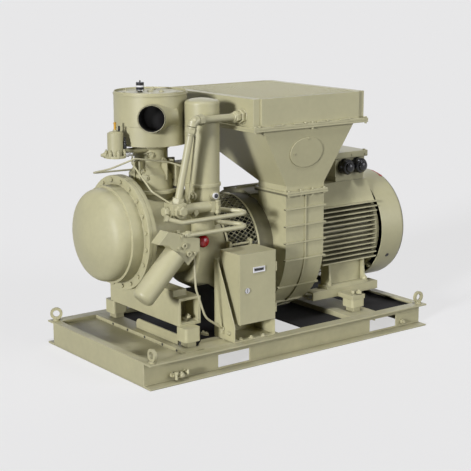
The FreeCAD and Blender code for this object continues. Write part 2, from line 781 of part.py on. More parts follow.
def motor_end_shields():
    """The flanged drive end shield and the fan end shield with four arms for the cowl."""
    seat = MOTOR_BEARING_OUTER
    free = MOTOR_SHAFT + RUNNING
    shield_left = MOTOR_LEFT - END_SHIELD
    drive = turned([(VOLUTE_RIGHT, free), (VOLUTE_RIGHT, MOTOR_FLANGE_RADIUS),
                    (VOLUTE_RIGHT + MOTOR_FLANGE, MOTOR_FLANGE_RADIUS), (VOLUTE_RIGHT + MOTOR_FLANGE, SHIELD_WAIST),
                    (shield_left, SHIELD_WAIST), (shield_left, MOTOR_CORE), (MOTOR_LEFT, MOTOR_CORE),
                    (MOTOR_LEFT, seat), (MOTOR_LEFT - MOTOR_BEARING_WIDTH, seat),
                    (MOTOR_LEFT - MOTOR_BEARING_WIDTH, free)], V(0, 0, SHAFT_Z), X)
    outer = MOTOR_RIGHT + END_SHIELD
    fan_end = turned([(MOTOR_RIGHT, seat), (MOTOR_RIGHT, FAN_SHIELD_RADIUS), (outer, FAN_SHIELD_RADIUS),
                      (outer, SHIELD_WAIST), (outer + SHIELD_HUB, SHIELD_HUB_RADIUS),
                      (outer + SHIELD_HUB, free), (outer, free), (outer, seat)], V(0, 0, SHAFT_Z), X)
    arms = []
    reach = math.sqrt((COWL_RADIUS - COWL_WALL) ** 2 - (COWL_ARM / 2) ** 2)
    for angle in (45, 135, 225, 315):
        arm = box(MOTOR_RIGHT, COWL_LEFT + COWL_ARM, -COWL_ARM / 2, COWL_ARM / 2,
                  SHAFT_Z + MOTOR_CORE - COWL_ARM, SHAFT_Z + reach)
        arm.rotate(V(0, 0, SHAFT_Z), X, angle)
        arms.append(arm)
    return group([drive, joined([fan_end] + arms)])


def motor_stator():
    return ring(STATOR_OUTER, STATOR_INNER, STATOR_LENGTH, V(STATOR_LEFT, 0, SHAFT_Z), X)


def motor_fan_cowl():
    """The round cowl over the motor's own fan, with a guarded opening at the back."""
    inside = COWL_RIGHT - COWL_WALL
    bore = COWL_RADIUS - COWL_WALL
    round_centre = (COWL_RIGHT - COWL_EDGE, COWL_RADIUS - COWL_EDGE)
    outer_edge = rounded(round_centre, COWL_EDGE, 90, 0, ROUND_FACES)
    inner_edge = rounded(round_centre, COWL_EDGE - COWL_WALL, 90, 0, ROUND_FACES)
    shell = turned([(COWL_LEFT, bore), (COWL_LEFT, COWL_RADIUS)] + outer_edge
                   + [(COWL_RIGHT, GRILLE_RADIUS), (inside, GRILLE_RADIUS)] + inner_edge[::-1],
                   V(0, 0, SHAFT_Z), X)
    bars = []
    reach = GRILLE_RADIUS + GRILLE_WIRE
    for step in range(GRILLE_BARS // 2):
        bar = box(inside - GRILLE_WIRE, inside, -reach, reach, SHAFT_Z - GRILLE_WIRE / 2, SHAFT_Z + GRILLE_WIRE / 2)
        bar.rotate(V(0, 0, SHAFT_Z), X, 360.0 * step / GRILLE_BARS)
        bars.append(bar)
    rings = []
    for step in range(GRILLE_RINGS):
        radius = GRILLE_RADIUS * (step + 1) / (GRILLE_RINGS + 1)
        rings.append(ring(radius + GRILLE_WIRE / 2, radius - GRILLE_WIRE / 2, COWL_WALL, V(inside, 0, SHAFT_Z), X))
    return group([shell, joined(bars)] + rings)


def motor_shaft():
    """The motor shaft, from the coupling through the fan to the motor's own fan."""
    end = MOTOR_FAN_LEFT + MOTOR_FAN_WIDTH
    return turned([(COUPLING_MIDDLE, 0), (COUPLING_MIDDLE, MOTOR_SHAFT), (end, MOTOR_SHAFT), (end, 0)],
                  V(0, 0, SHAFT_Z), X)


def motor_rotor_core():
    return ring(STATOR_INNER - RUNNING, MOTOR_SHAFT, STATOR_LENGTH, V(STATOR_LEFT, 0, SHAFT_Z), X)


def motor_cooling_fan():
    centre = V(0, 0, SHAFT_Z)
    left = MOTOR_FAN_LEFT
    right = left + MOTOR_FAN_WIDTH
    hub = ring(MOTOR_FAN_HUB, MOTOR_SHAFT, MOTOR_FAN_WIDTH, V(left, 0, SHAFT_Z), X)
    blades = []
    for step in range(MOTOR_FAN_BLADES):
        blade = box(left, right, -FAN_BLADE_THICK, FAN_BLADE_THICK,
                    SHAFT_Z + MOTOR_FAN_HUB - FAN_BLADE_THICK, SHAFT_Z + MOTOR_FAN_RADIUS)
        blade.rotate(centre, X, 360.0 * step / MOTOR_FAN_BLADES)
        blades.append(blade)
    return joined([hub] + blades)


def bearing(outer, bore, width, left, y):
    return ring(outer, bore + BEARING_CLEARANCE, width, V(left, y, SHAFT_Z), X)


def shaft_bearings():
    rings = [bearing(MOTOR_BEARING_OUTER, MOTOR_SHAFT, MOTOR_BEARING_WIDTH, MOTOR_LEFT - MOTOR_BEARING_WIDTH, 0),
             bearing(MOTOR_BEARING_OUTER, MOTOR_SHAFT, END_SHIELD, MOTOR_RIGHT, 0)]
    for y in (0, ROTOR_CENTRES):
        rings.append(bearing(BEARING_OUTER, ROTOR_SHAFT, BEARING_WIDTH,
                             ROTOR_LEFT - ROTOR_END_GAP - BEARING_WIDTH, y))
        rings.append(bearing(BEARING_OUTER, ROTOR_SHAFT, BEARING_WIDTH,
                             ROTOR_LEFT + ROTOR_LENGTH + ROTOR_END_GAP, y))
    return group(rings)


def terminal_box():
    outer = box(TERMINAL_LEFT, TERMINAL_RIGHT, -TERMINAL_HALF, TERMINAL_HALF, TERMINAL_BOTTOM, TERMINAL_TOP)
    inner = box(TERMINAL_LEFT + TERMINAL_WALL, TERMINAL_RIGHT - TERMINAL_WALL, -TERMINAL_HALF + TERMINAL_WALL,
                TERMINAL_HALF - TERMINAL_WALL, TERMINAL_BOTTOM + TERMINAL_WALL, TERMINAL_TOP)
    solid = outer.cut(inner)
    for x in GLAND_X:
        solid = solid.cut(rod(GLAND_BORE, TERMINAL_WALL + 2, V(x, -TERMINAL_HALF - 1, GLAND_Z), Y))
    middle = V((TERMINAL_LEFT + TERMINAL_RIGHT) / 2, 0, TERMINAL_BOTTOM - 1)
    return solid.cut(rod(CABLE_WAY, TERMINAL_WALL + 2, middle, Z))


def terminal_box_lid():
    reach = TERMINAL_LID_REACH
    outer = box(TERMINAL_LEFT - reach, TERMINAL_RIGHT + reach, -TERMINAL_HALF - reach, TERMINAL_HALF + reach,
                TERMINAL_TOP, TERMINAL_TOP + TERMINAL_LID)
    inner = box(TERMINAL_LEFT + TERMINAL_WALL, TERMINAL_RIGHT - TERMINAL_WALL, -TERMINAL_HALF + TERMINAL_WALL,
                TERMINAL_HALF - TERMINAL_WALL, TERMINAL_TOP, TERMINAL_TOP + TERMINAL_LID - TERMINAL_WALL)
    return outer.cut(inner)


def cable_glands():
    """Two domed glands, each with a through hole for its cable."""
    glands = []
    for x in GLAND_X:
        dome = rounded((GLAND_LENGTH - GLAND_DOME, GLAND_RADIUS - GLAND_DOME), GLAND_DOME, 90, 0, ROUND_FACES)
        glands.append(turned([(-TERMINAL_WALL, GLAND_BORE_INSIDE), (-TERMINAL_WALL, GLAND_BORE), (0, GLAND_BORE),
                              (0, GLAND_RADIUS)] + dome + [(GLAND_LENGTH, GLAND_BORE_INSIDE)],
                             V(x, -TERMINAL_HALF, GLAND_Z), -Y))
    return group(glands)


SCROLL_CENTRES = [(SCROLL_BACK + side_y * SCROLL_STEP / 2, -SCROLL_DROP + side_z * SCROLL_STEP / 2)
                  for side_y, side_z in ((-1, 1), (-1, -1), (1, -1), (1, 1))]


def scroll_outline(grown, left, right, top):
    """A block with the outline of the scroll, laid out with four centres round the shaft.

    It runs from the front wall under the fan and up the back to the tongue, each quarter
    with a smaller radius than the one before.
    """
    radius = VOLUTE_FRONT + SCROLL_CENTRES[0][0] + grown
    edges = []
    start = V(0, -VOLUTE_FRONT - grown, SHAFT_Z + SCROLL_CENTRES[0][1])
    first = start
    for quarter, (y, z) in enumerate(SCROLL_CENTRES):
        sweep = 90.0
        if quarter == 3:
            sweep = math.degrees(math.asin((OUTLET_BACK - grown + y) / radius))
        middle, end = [V(0, y - radius * math.cos(math.radians(90.0 * quarter + turn)),
                         SHAFT_Z + z - radius * math.sin(math.radians(90.0 * quarter + turn)))
                       for turn in (sweep / 2, sweep)]
        edges.append(Part.Arc(start, middle, end).toShape())
        start = end
        radius -= SCROLL_STEP
    back = V(0, start.y, top)
    front = V(0, first.y, top)
    edges.append(Part.LineSegment(start, back).toShape())
    edges.append(Part.LineSegment(back, front).toShape())
    edges.append(Part.LineSegment(front, first).toShape())
    block = Part.Face(Part.Wire(edges)).extrude(X * (right - left))
    block.translate(X * left)
    return block


def scroll_radius(angle):
    """The scroll's distance from the shaft, along a direction turned from the front wall."""
    quarter = min(3, int(angle // 90))
    y, z = SCROLL_CENTRES[quarter]
    radius = VOLUTE_FRONT + SCROLL_CENTRES[0][0] - SCROLL_STEP * quarter
    out = -y * math.cos(math.radians(angle)) - z * math.sin(math.radians(angle))
    return out + math.sqrt(radius ** 2 - y ** 2 - z ** 2 + out ** 2)


def fan_volute():
    """The ribbed scroll casing of the cooling fan, with its inlet ring and outlet flange."""
    shell = scroll_outline(0, VOLUTE_LEFT, VOLUTE_RIGHT, OUTLET_Z)
    middle = (VOLUTE_LEFT + VOLUTE_RIGHT) / 2
    band = scroll_outline(BAND_HEIGHT, middle - RIB_THICK / 2, middle + RIB_THICK / 2, OUTLET_Z)
    ribs = []
    for step in range(RIB_COUNT_FRONT):
        z = RIB_FIRST_Z - step * RIB_PITCH
        ribs.append(box(VOLUTE_LEFT - RIB_REACH, VOLUTE_RIGHT + RIB_REACH, -VOLUTE_FRONT - RIB_HEIGHT,
                        -VOLUTE_FRONT + 2 * VOLUTE_WALL, z - RIB_THICK / 2, z + RIB_THICK / 2))
    for step in range(RIB_COUNT_ROUND):
        angle = RIB_FIRST_ANGLE + step * RIB_STEP_ANGLE
        radius = scroll_radius(angle)
        rib = box(VOLUTE_LEFT - RIB_REACH, VOLUTE_RIGHT + RIB_REACH, -radius - RIB_HEIGHT, -radius + VOLUTE_WALL,
                  SHAFT_Z - RIB_THICK / 2, SHAFT_Z + RIB_THICK / 2)
        rib.rotate(V(0, 0, SHAFT_Z), X, angle)
        ribs.append(rib)
    flange = box(VOLUTE_LEFT - DUCT_SIDE_LIP, VOLUTE_RIGHT + DUCT_SIDE_LIP, -VOLUTE_FRONT - DUCT_LIP,
                 -OUTLET_BACK + DUCT_LIP, OUTLET_Z, OUTLET_Z + FLANGE_PLATE)
    inlet = rod(INLET_RADIUS, INLET_REACH + VOLUTE_WALL, V(VOLUTE_LEFT - INLET_REACH, 0, SHAFT_Z), X)
    solid = joined([shell, band, flange, inlet] + ribs)
    cavity = scroll_outline(-VOLUTE_WALL, VOLUTE_LEFT + VOLUTE_WALL, VOLUTE_RIGHT - VOLUTE_WALL,
                            OUTLET_Z + FLANGE_PLATE + 1)
    inlet_space = rod(INLET_RADIUS - VOLUTE_WALL, INLET_REACH, V(VOLUTE_LEFT - INLET_REACH, 0, SHAFT_Z), X)
    eye = rod(FAN_EYE, VOLUTE_WALL * 3, V(VOLUTE_LEFT - VOLUTE_WALL, 0, SHAFT_Z), X)
    shaft_hole = rod(MOTOR_SHAFT + RUNNING, VOLUTE_WALL * 3, V(VOLUTE_RIGHT - VOLUTE_WALL * 2, 0, SHAFT_Z), X)
    return solid.cut(cavity).cut(inlet_space).cut(eye).cut(shaft_hole)


def fan_impeller():
    """A backward-bladed wheel on the motor shaft."""
    centre = V(0, 0, SHAFT_Z)
    shroud = ring(FAN_RADIUS, FAN_EYE, FAN_BLADE_THICK, V(FAN_LEFT, 0, SHAFT_Z), X)
    back = ring(FAN_RADIUS, MOTOR_SHAFT, FAN_BLADE_THICK, V(FAN_RIGHT - FAN_BLADE_THICK, 0, SHAFT_Z), X)
    hub = ring(FAN_HUB, MOTOR_SHAFT, FAN_HUB_LENGTH, V(FAN_RIGHT - FAN_HUB_LENGTH, 0, SHAFT_Z), X)
    blades = []
    for step in range(FAN_BLADES):
        blade = box(FAN_LEFT, FAN_RIGHT, -FAN_BLADE_THICK / 2, FAN_BLADE_THICK / 2,
                    SHAFT_Z - FAN_BLADE_LENGTH / 2, SHAFT_Z + FAN_BLADE_LENGTH / 2)
        blade.rotate(centre, X, FAN_BLADE_LEAN)
        blade.translate(Z * FAN_BLADE_MIDDLE)
        blade.rotate(centre, X, 360.0 * step / FAN_BLADES)
        blades.append(blade)
    return joined([shroud, back, hub] + blades)


def fan_guard():
    """The cage of hoops and bars round the coupling, between the drive cover and the inlet ring."""
    left = BELL_FACE_X - GUARD_OVERLAP
    right = VOLUTE_LEFT - INLET_REACH + GUARD_OVERLAP
    half = GUARD_WIRE / 2
    solids = []
    for step in range(GUARD_HOOPS):
        share = step / (GUARD_HOOPS - 1)
        x = left + (right - left - GUARD_WIRE) * share
        seat = BELL_RADIUS + (INLET_RADIUS - BELL_RADIUS) * share
        solids.append(ring(seat + GUARD_WIRE, seat, GUARD_WIRE, V(x, 0, SHAFT_Z), X))
    low = SHAFT_Z + BELL_RADIUS + half
    high = SHAFT_Z + INLET_RADIUS + half
    for step in range(GUARD_BARS):
        bar = prism([V(left, -half, low), V(right, -half, high), V(right, -half, high + GUARD_WIRE),
                     V(left, -half, low + GUARD_WIRE)], Y * GUARD_WIRE)
        bar.rotate(V(0, 0, SHAFT_Z), X, 360.0 * (step + 0.5) / GUARD_BARS)
        solids.append(bar)
    apron = box(APRON_LEFT, APRON_RIGHT, -APRON_FRONT, -APRON_FRONT + APRON_SHEET, APRON_BOTTOM, APRON_TOP)
    inside = rod(BELL_RADIUS + GUARD_WIRE / 2, APRON_RIGHT - BELL_FACE_X, V(BELL_FACE_X, 0, SHAFT_Z), X)
    return joined(solids + [seated(apron, drive_cover_body(), airend_body(), inside)])


def coupling():
    """Two hubs and the flexible ring between them, turned in one piece."""
    middle = COUPLING_MIDDLE
    half = COUPLING_RING / 2
    return turned([(COUPLING_LEFT, ROTOR_SHAFT), (COUPLING_LEFT, COUPLING_HUB), (middle - half, COUPLING_HUB),
                   (middle - half, COUPLING_RADIUS), (middle + half, COUPLING_RADIUS), (middle + half, COUPLING_HUB),
                   (COUPLING_RIGHT, COUPLING_HUB), (COUPLING_RIGHT, MOTOR_SHAFT), (middle, MOTOR_SHAFT),
                   (middle, ROTOR_SHAFT)], V(0, 0, SHAFT_Z), X)


def drive_cover_body():
    """The outside of the flared drive cover, filled in."""
    rim = BELL_FACE_X - BELL_WALL
    return turned([(BELL_LEFT, 0), (BELL_LEFT, BELL_NECK), (rim, BELL_RADIUS), (BELL_FACE_X, BELL_RADIUS),
                   (BELL_FACE_X, 0)], V(0, 0, SHAFT_Z), X)


def drive_cover():
    """The flared cover between the air end casting and the coupling guard."""
    free = ROTOR_SHAFT + RUNNING
    inner = BELL_RADIUS - BELL_WALL
    hollow = turned([(BELL_LEFT + BELL_WALL, 0), (BELL_LEFT + BELL_WALL, BELL_NECK - BELL_WALL),
                     (BELL_FACE_X - BELL_WALL, inner), (BELL_FACE_X, inner), (BELL_FACE_X, 0)], V(0, 0, SHAFT_Z), X)
    return drive_cover_body().cut(hollow).cut(rod(free, BELL_WALL, V(BELL_LEFT, 0, SHAFT_Z), X))


def airend_body():
    """The outside of the air end casting, before its bores."""
    case_length = CASTING_END_X - FLANGE_FACE_X - COVER_FLANGE
    left = FLANGE_FACE_X + COVER_FLANGE
    case = ROTOR_RADIUS + CASE_WALL
    feet = box(FILTER_X - FOOT_HALF_LENGTH, FILTER_X + FOOT_HALF_LENGTH,
               -FOOT_HALF_WIDTH, FOOT_HALF_WIDTH, SADDLE_TOP, FOOT_TOP)
    return joined([
        rod(FLANGE_RADIUS, BODY_FLANGE, V(left, 0, VESSEL_Z), X),
        rod(CASTING_RADIUS, case_length, V(left, 0, VESSEL_Z), X),
        rod(case, case_length, V(left, 0, SHAFT_Z), X),
        rod(case, case_length, V(left, ROTOR_CENTRES, SHAFT_Z), X),
        box(left, CASTING_END_X, 0, ROTOR_CENTRES, SHAFT_Z - case, SHAFT_Z + case),
        rod(INTAKE_BODY, CASTING_RADIUS, V(FILTER_X, 0, VESSEL_Z), Z),
        rod(FILLER_NECK, FILLER_LENGTH + FILLER_NECK, FILLER - Y * FILLER_LENGTH, Y),
        feet,
    ])


# Symmetric circular-arc rotor profiles: pitch circles roll on each other on the line of centres
MALE_PITCH = ROTOR_CENTRES * MALE_LOBES / (MALE_LOBES + FEMALE_LOBES)
FEMALE_PITCH = ROTOR_CENTRES - MALE_PITCH
LOBE_RADIUS = ROTOR_RADIUS - MALE_PITCH


def airend_casting():
    """The casting with separator chamber, rotor bores, bearing seats, discharge and inlet."""
    left = ROTOR_LEFT - ROTOR_END_GAP
    length = ROTOR_LENGTH + 2 * ROTOR_END_GAP
    flange_left = FLANGE_FACE_X + COVER_FLANGE
    cuts = [
        rod(SEPARATOR_CHAMBER, SEPARATOR_CHAMBER_END - flange_left, V(flange_left, 0, SEPARATOR_Z), X),
        rod(ROTOR_RADIUS + RUNNING, length, V(left, 0, SHAFT_Z), X),
        rod(FEMALE_PITCH + RUNNING, length, V(left, ROTOR_CENTRES, SHAFT_Z), X),
        rod(DISCHARGE_RADIUS, left - flange_left, V(flange_left, ROTOR_CENTRES / 2, SHAFT_Z), X),
        rod(INLET_PORT, VESSEL_Z + CASTING_RADIUS - SHAFT_Z, V(FILTER_X, 0, SHAFT_Z), Z),
        rod(ROTOR_SHAFT + RUNNING, CASTING_END_X - left, V(left, 0, SHAFT_Z), X),
        rod(FILLER_BORE, 2 * FILLER_LENGTH, FILLER - Y * FILLER_LENGTH, Y),
    ]
    for y in (0, ROTOR_CENTRES):
        cuts.append(rod(BEARING_OUTER, BEARING_WIDTH, V(left - BEARING_WIDTH, y, SHAFT_Z), X))
        cuts.append(rod(BEARING_OUTER, BEARING_WIDTH, V(left + length, y, SHAFT_Z), X))
    solid = airend_body()
    for piece in cuts:
        solid = solid.cut(piece)
    return solid


def dished_end(radius, depth, knuckle_radius, inset):
    """A dished end from its rim to its tip, as (height over the rim, radius) pairs, moved inwards by an inset."""
    reach = radius - knuckle_radius
    crown = (reach ** 2 + depth ** 2 - knuckle_radius ** 2) / (2 * (depth - knuckle_radius))
    middle = depth - crown
    meeting = math.degrees(math.atan2(reach, -middle))
    knuckle = rounded((0, reach), knuckle_radius - inset, 90, meeting, HEAD_KNUCKLE_FACES)
    return knuckle + rounded((middle, 0), crown - inset, meeting, 0, HEAD_CROWN_FACES)[1:-1] + [(depth - inset, 0)]


def vessel_cover():
    """The dished cover on its flange, hollow inside."""
    face = FLANGE_FACE_X
    skirt = face - SKIRT_LENGTH
    start = skirt - HEAD_STRAIGHT
    inner = HEAD_RADIUS - HEAD_WALL
    profile = [(face + COVER_FLANGE, inner), (face + COVER_FLANGE, FLANGE_RADIUS), (face, FLANGE_RADIUS),
               (face, SKIRT_RADIUS), (skirt, SKIRT_RADIUS), (skirt, HEAD_RADIUS)]
    outside, inside = [[(start - height, radius) for height, radius
                        in dished_end(HEAD_RADIUS, HEAD_DEPTH, HEAD_KNUCKLE, inset)] for inset in (0, HEAD_WALL)]
    return turned(profile + outside + inside[::-1], V(0, 0, VESSEL_Z), X)


def vessel_bolts():
    bolts = []
    for step in range(COVER_BOLTS):
        angle = 2 * math.pi * (step + 0.5) / COVER_BOLTS
        place = V(FLANGE_FACE_X, BOLT_CIRCLE * math.cos(angle), VESSEL_Z + BOLT_CIRCLE * math.sin(angle))
        bolts.append(hexagon(COVER_BOLT_WIDTH, COVER_BOLT_HEIGHT, place, -X))
    return bolts


def separator_element():
    return ring(SEPARATOR_OUTER, SEPARATOR_INNER, SEPARATOR_CHAMBER_END - SEPARATOR_LEFT,
                V(SEPARATOR_LEFT, 0, SEPARATOR_Z), X)


def rotor_outline(lobes, pitch, radius, way):
    """Polar points of one cross section: a pitch circle broken by round lobes (1) or flutes (-1)."""
    half = 2 * math.asin(radius / (2 * pitch))
    points = []
    for lobe in range(lobes):
        middle = 2 * math.pi * lobe / lobes
        reach = math.pi / 2 + way * half / 2
        for step in range(LOBE_POINTS + 1):
            swing = reach * (2 * step / LOBE_POINTS - 1)
            out = pitch + way * radius * math.cos(swing)
            side = radius * math.sin(swing)
            points.append((middle + math.atan2(side, out), math.hypot(side, out)))
        points.append((middle + math.pi / lobes, pitch))
    return points


def screw(outline, wrap, turn, y):
    """A twisted rotor body: the same outline in turned steps along the shaft, skinned with facets."""
    rows = []
    for step in range(SCREW_STEPS + 1):
        share = step / SCREW_STEPS
        angle = turn + math.radians(wrap) * share
        rows.append([V(ROTOR_LEFT + ROTOR_LENGTH * share, y + radius * math.cos(angle + place),
                       SHAFT_Z + radius * math.sin(angle + place)) for place, radius in outline])
    faces = [polygon(rows[0]), polygon(rows[-1])]
    for row, onward in zip(rows, rows[1:]):
        for column in range(len(outline)):
            after = (column + 1) % len(outline)
            faces.append(polygon([row[column], row[after], onward[after]]))
            faces.append(polygon([row[column], onward[after], onward[column]]))
    shell = Part.Shell(faces)
    shell.sewShape()
    solid = Part.Solid(shell)
    if solid.Volume < 0:
        solid.reverse()
    return solid


def rotor_on_shaft(body, right, y):
    """A rotor body with the two shaft ends that carry it."""
    left = ROTOR_LEFT - ROTOR_END_GAP - BEARING_WIDTH
    end = ROTOR_LEFT + ROTOR_LENGTH
    return body.fuse([rod(ROTOR_SHAFT, ROTOR_LEFT - left, V(left, y, SHAFT_Z), X),
                      rod(ROTOR_SHAFT, right - end, V(end, y, SHAFT_Z), X)])


def male_rotor():
    """The driving rotor with four round lobes; its shaft runs on to the coupling."""
    pitch = MALE_PITCH - ROTOR_GAP / 2
    body = screw(rotor_outline(MALE_LOBES, pitch, LOBE_RADIUS, 1), MALE_WRAP, 0, 0)
    return rotor_on_shaft(body, COUPLING_MIDDLE, 0)


def female_rotor():
    """The driven rotor with six flutes, twisted the other way."""
    pitch = FEMALE_PITCH - ROTOR_GAP / 2
    flute = LOBE_RADIUS + ROTOR_GAP
    wrap = -MALE_WRAP * MALE_LOBES / FEMALE_LOBES
    body = screw(rotor_outline(FEMALE_LOBES, pitch, flute, -1), wrap, math.pi, ROTOR_CENTRES)
    return rotor_on_shaft(body, ROTOR_LEFT + ROTOR_LENGTH + ROTOR_END_GAP + BEARING_WIDTH, ROTOR_CENTRES)


INTAKE_BOTTOM = VESSEL_Z + CASTING_RADIUS


def intake_housing():
    """The flanged housing of the intake valve, with its seat and the guide of its stem."""
    flange_top = INTAKE_BOTTOM + INTAKE_FLANGE_THICK
    seat_top = VALVE_SEAT_Z + VALVE_SEAT_THICK
    shell = turned([
        (INTAKE_BOTTOM, INTAKE_BORE), (INTAKE_BOTTOM, INTAKE_FLANGE), (flange_top, INTAKE_FLANGE),
        (flange_top, INTAKE_BODY), (INTAKE_SHOULDER_Z, INTAKE_BODY), (INTAKE_NECK_Z, INTAKE_NECK),
        (DRUM_BOTTOM, INTAKE_NECK), (DRUM_BOTTOM, DRUM_OPENING), (seat_top, DRUM_OPENING),
        (seat_top, VALVE_SEAT_BORE), (VALVE_SEAT_Z, VALVE_SEAT_BORE), (VALVE_SEAT_Z, INTAKE_BORE),
    ], V(FILTER_X, 0, 0), Z)
    half = VALVE_STEM
    bridge = box(FILTER_X - half, FILTER_X + half, -INTAKE_BORE - 1, INTAKE_BORE + 1,
                 VALVE_GUIDE_Z, VALVE_GUIDE_Z + VALVE_GUIDE)
    guide = rod(VALVE_GUIDE_RADIUS, VALVE_GUIDE, V(FILTER_X, 0, VALVE_GUIDE_Z), Z)
    hole = rod(VALVE_STEM + BEARING_CLEARANCE, VALVE_GUIDE + 2, V(FILTER_X, 0, VALVE_GUIDE_Z - 1), Z)
    return joined([shell, bridge, guide]).cut(hole)


def intake_valve_disc():
    top = VALVE_SEAT_Z - SEAT
    disc = rod(VALVE_DISC_RADIUS, VALVE_THICK, V(FILTER_X, 0, top - VALVE_THICK), Z)
    stem = rod(VALVE_STEM, VALVE_STEM_LENGTH, V(FILTER_X, 0, top - VALVE_STEM_LENGTH), Z)
    return joined([disc, stem])


def air_filter_drum():
    """The drum of the air filter, with its inlet bend and the ledge its lid lies on."""
    inner = DRUM_RADIUS - DRUM_WALL
    ledge = DRUM_TOP - LID_DROP
    floor = DRUM_BOTTOM + DRUM_WALL
    lid_hole = LID_RADIUS + SEAT
    shell = turned([
        (DRUM_BOTTOM, DRUM_OPENING), (DRUM_BOTTOM, DRUM_RADIUS), (DRUM_SEAM - SEAM_GROOVE, DRUM_RADIUS),
        (DRUM_SEAM, DRUM_RADIUS - SEAM_GROOVE), (DRUM_SEAM + SEAM_GROOVE, DRUM_RADIUS), (DRUM_TOP, DRUM_RADIUS),
        (DRUM_TOP, lid_hole), (ledge, lid_hole), (ledge, LID_RADIUS - LID_LEDGE),
        (ledge - DRUM_WALL, LID_RADIUS - LID_LEDGE), (ledge - DRUM_WALL, inner), (floor, inner),
        (floor, DRUM_OPENING),
    ], V(FILTER_X, 0, 0), Z)
    heading = math.radians(SPOUT_HEADING)
    onward = math.radians(SPOUT_HEADING - SPOUT_TURN)
    reach = SPOUT_BEND * math.tan(math.radians(SPOUT_TURN) / 2)
    corner = SPOUT + V(math.cos(heading), math.sin(heading), 0) * (SPOUT_STRAIGHT + reach)
    inside = corner + V(math.cos(onward), math.sin(onward), 0) * (reach + SPOUT_ENTRY)
    route = [SPOUT, corner, inside]
    cavity = rod(inner, ledge - DRUM_WALL - floor, V(FILTER_X, 0, floor), Z)
    spout = tube_along(route, SPOUT_RADIUS, SPOUT_BEND).cut(cavity)
    return joined([shell, spout]).cut(tube_along(route, SPOUT_BORE, SPOUT_BEND))


def air_filter_lid():
    """The recessed lid, with a centre nut."""
    low = DRUM_TOP - LID_DROP + SEAT
    plate = rod(LID_RADIUS - SEAT, LID_THICK, V(FILTER_X, 0, low), Z)
    nut = hexagon(HOLD_DOWN_BOLT, LID_NUT, V(FILTER_X, 0, low + LID_THICK), Z)
    return joined([plate, nut])


def service_indicator():
    low = DRUM_TOP - LID_DROP + SEAT + LID_THICK
    high = low + INDICATOR_HEIGHT
    shoulder = low + INDICATOR_BASE
    neck = low + INDICATOR_NECK
    tip = high + INDICATOR_TIP_HEIGHT
    return turned([(low, 0), (low, INDICATOR_FOOT), (shoulder, INDICATOR_FOOT), (shoulder, INDICATOR_STEM),
                   (neck, INDICATOR_STEM), (neck, INDICATOR_RADIUS), (high, INDICATOR_RADIUS), (high, INDICATOR_TIP),
                   (tip, INDICATOR_TIP), (tip, 0)], V(INDICATOR_X, 0, 0), Z)


def air_filter_element():
    floor = DRUM_BOTTOM + DRUM_WALL
    length = DRUM_TOP - LID_DROP - DRUM_WALL - ELEMENT_GAP - floor
    return ring(ELEMENT_OUTER, ELEMENT_INNER, length, V(FILTER_X, 0, floor), Z)


def separator_canister():
    """The tall spin-on canister, thin-walled and open at its lower end."""
    outer = CANISTER_RADIUS
    inner = outer - CANISTER_WALL
    collar = CANISTER_SEAM + CANISTER_COLLAR_HEIGHT
    rim = CANISTER_TOP - CANISTER_DOME
    outside, inside = [[(rim + height, radius) for height, radius
                        in dished_end(outer, CANISTER_DOME, CANISTER_EDGE, inset)] for inset in (0, CANISTER_WALL)]
    return turned([(CANISTER_SEAM, inner), (CANISTER_SEAM, CANISTER_COLLAR), (collar, CANISTER_COLLAR),
                   (collar, outer)] + outside + inside[::-1], V(CANISTER.x, CANISTER.y, 0), Z)


def canister_head():
    """The cast head under the canister, with the boss of the sight glass."""
    shell = turned([
        (HEAD_BOTTOM, HEAD_BORE), (HEAD_BOTTOM, HEAD_WAIST), (HEAD_FLARE_LOW, HEAD_WAIST),
        (HEAD_FLARE_HIGH, CANISTER_RADIUS), (CANISTER_SEAM, CANISTER_RADIUS), (CANISTER_SEAM, HEAD_BORE),
    ], V(CANISTER.x, CANISTER.y, 0), Z)
    boss = rod(HEAD_BOSS_RADIUS, CANISTER.y - HEAD_BORE - HEAD_BOSS.y, HEAD_BOSS, Y)
    arm = rod(BLOCK_ARM, CANISTER.x - BLOCK.x - BLOCK_HALF, V(BLOCK.x + BLOCK_HALF, BLOCK.y, BLOCK.z), X)
    knee = box(CANISTER.x - BLOCK_ARM, CANISTER.x + BLOCK_ARM, BLOCK.y - BLOCK_ARM, CANISTER.y - HEAD_BORE,
               BLOCK.z - BLOCK_ARM, BLOCK.z + BLOCK_ARM)
    bore = rod(HEAD_BORE, CANISTER_SEAM - HEAD_BOTTOM, V(CANISTER.x, CANISTER.y, HEAD_BOTTOM), Z)
    solid = joined([shell, boss, arm, knee]).cut(bore)
    return seated(solid, airend_body(), drive_cover_body())


def sight_ring():
    return ring(SIGHT_RADIUS, SIGHT_RADIUS / 2, SIGHT_DEPTH, HEAD_BOSS - Y * SIGHT_DEPTH, Y)


def thermostat_block():
    """The square valve block with an eight-sided plug on its left and on its front."""
    half = BLOCK_HALF
    body = box(BLOCK.x - half, BLOCK.x + half, BLOCK.y - half, BLOCK.y + half, BLOCK.z - half, BLOCK.z + half)
    small = many_sided(8, PLUG_SMALL, PLUG_DEPTH, BLOCK - X * half, -X)
    large = many_sided(8, PLUG_LARGE, PLUG_DEPTH, BLOCK - Y * half, -Y)
    return joined([body, small, large])


def oil_filter_head():
    """The many-cornered head of the oil filter, held by an arm from the casting."""
    outline = [V(x, -OIL_HEAD_FRONT, z) for x, z in OIL_HEAD]
    plate = prism(outline, Y * (OIL_HEAD_FRONT - OIL_HEAD_BACK))
    left, right, low, high = OIL_HEAD_ARM
    arm = box(left, right, -OIL_HEAD_BACK, 0, low, high)
    return seated(joined([plate, arm]), airend_body())


SLOPE = V(-1, 0, -1)


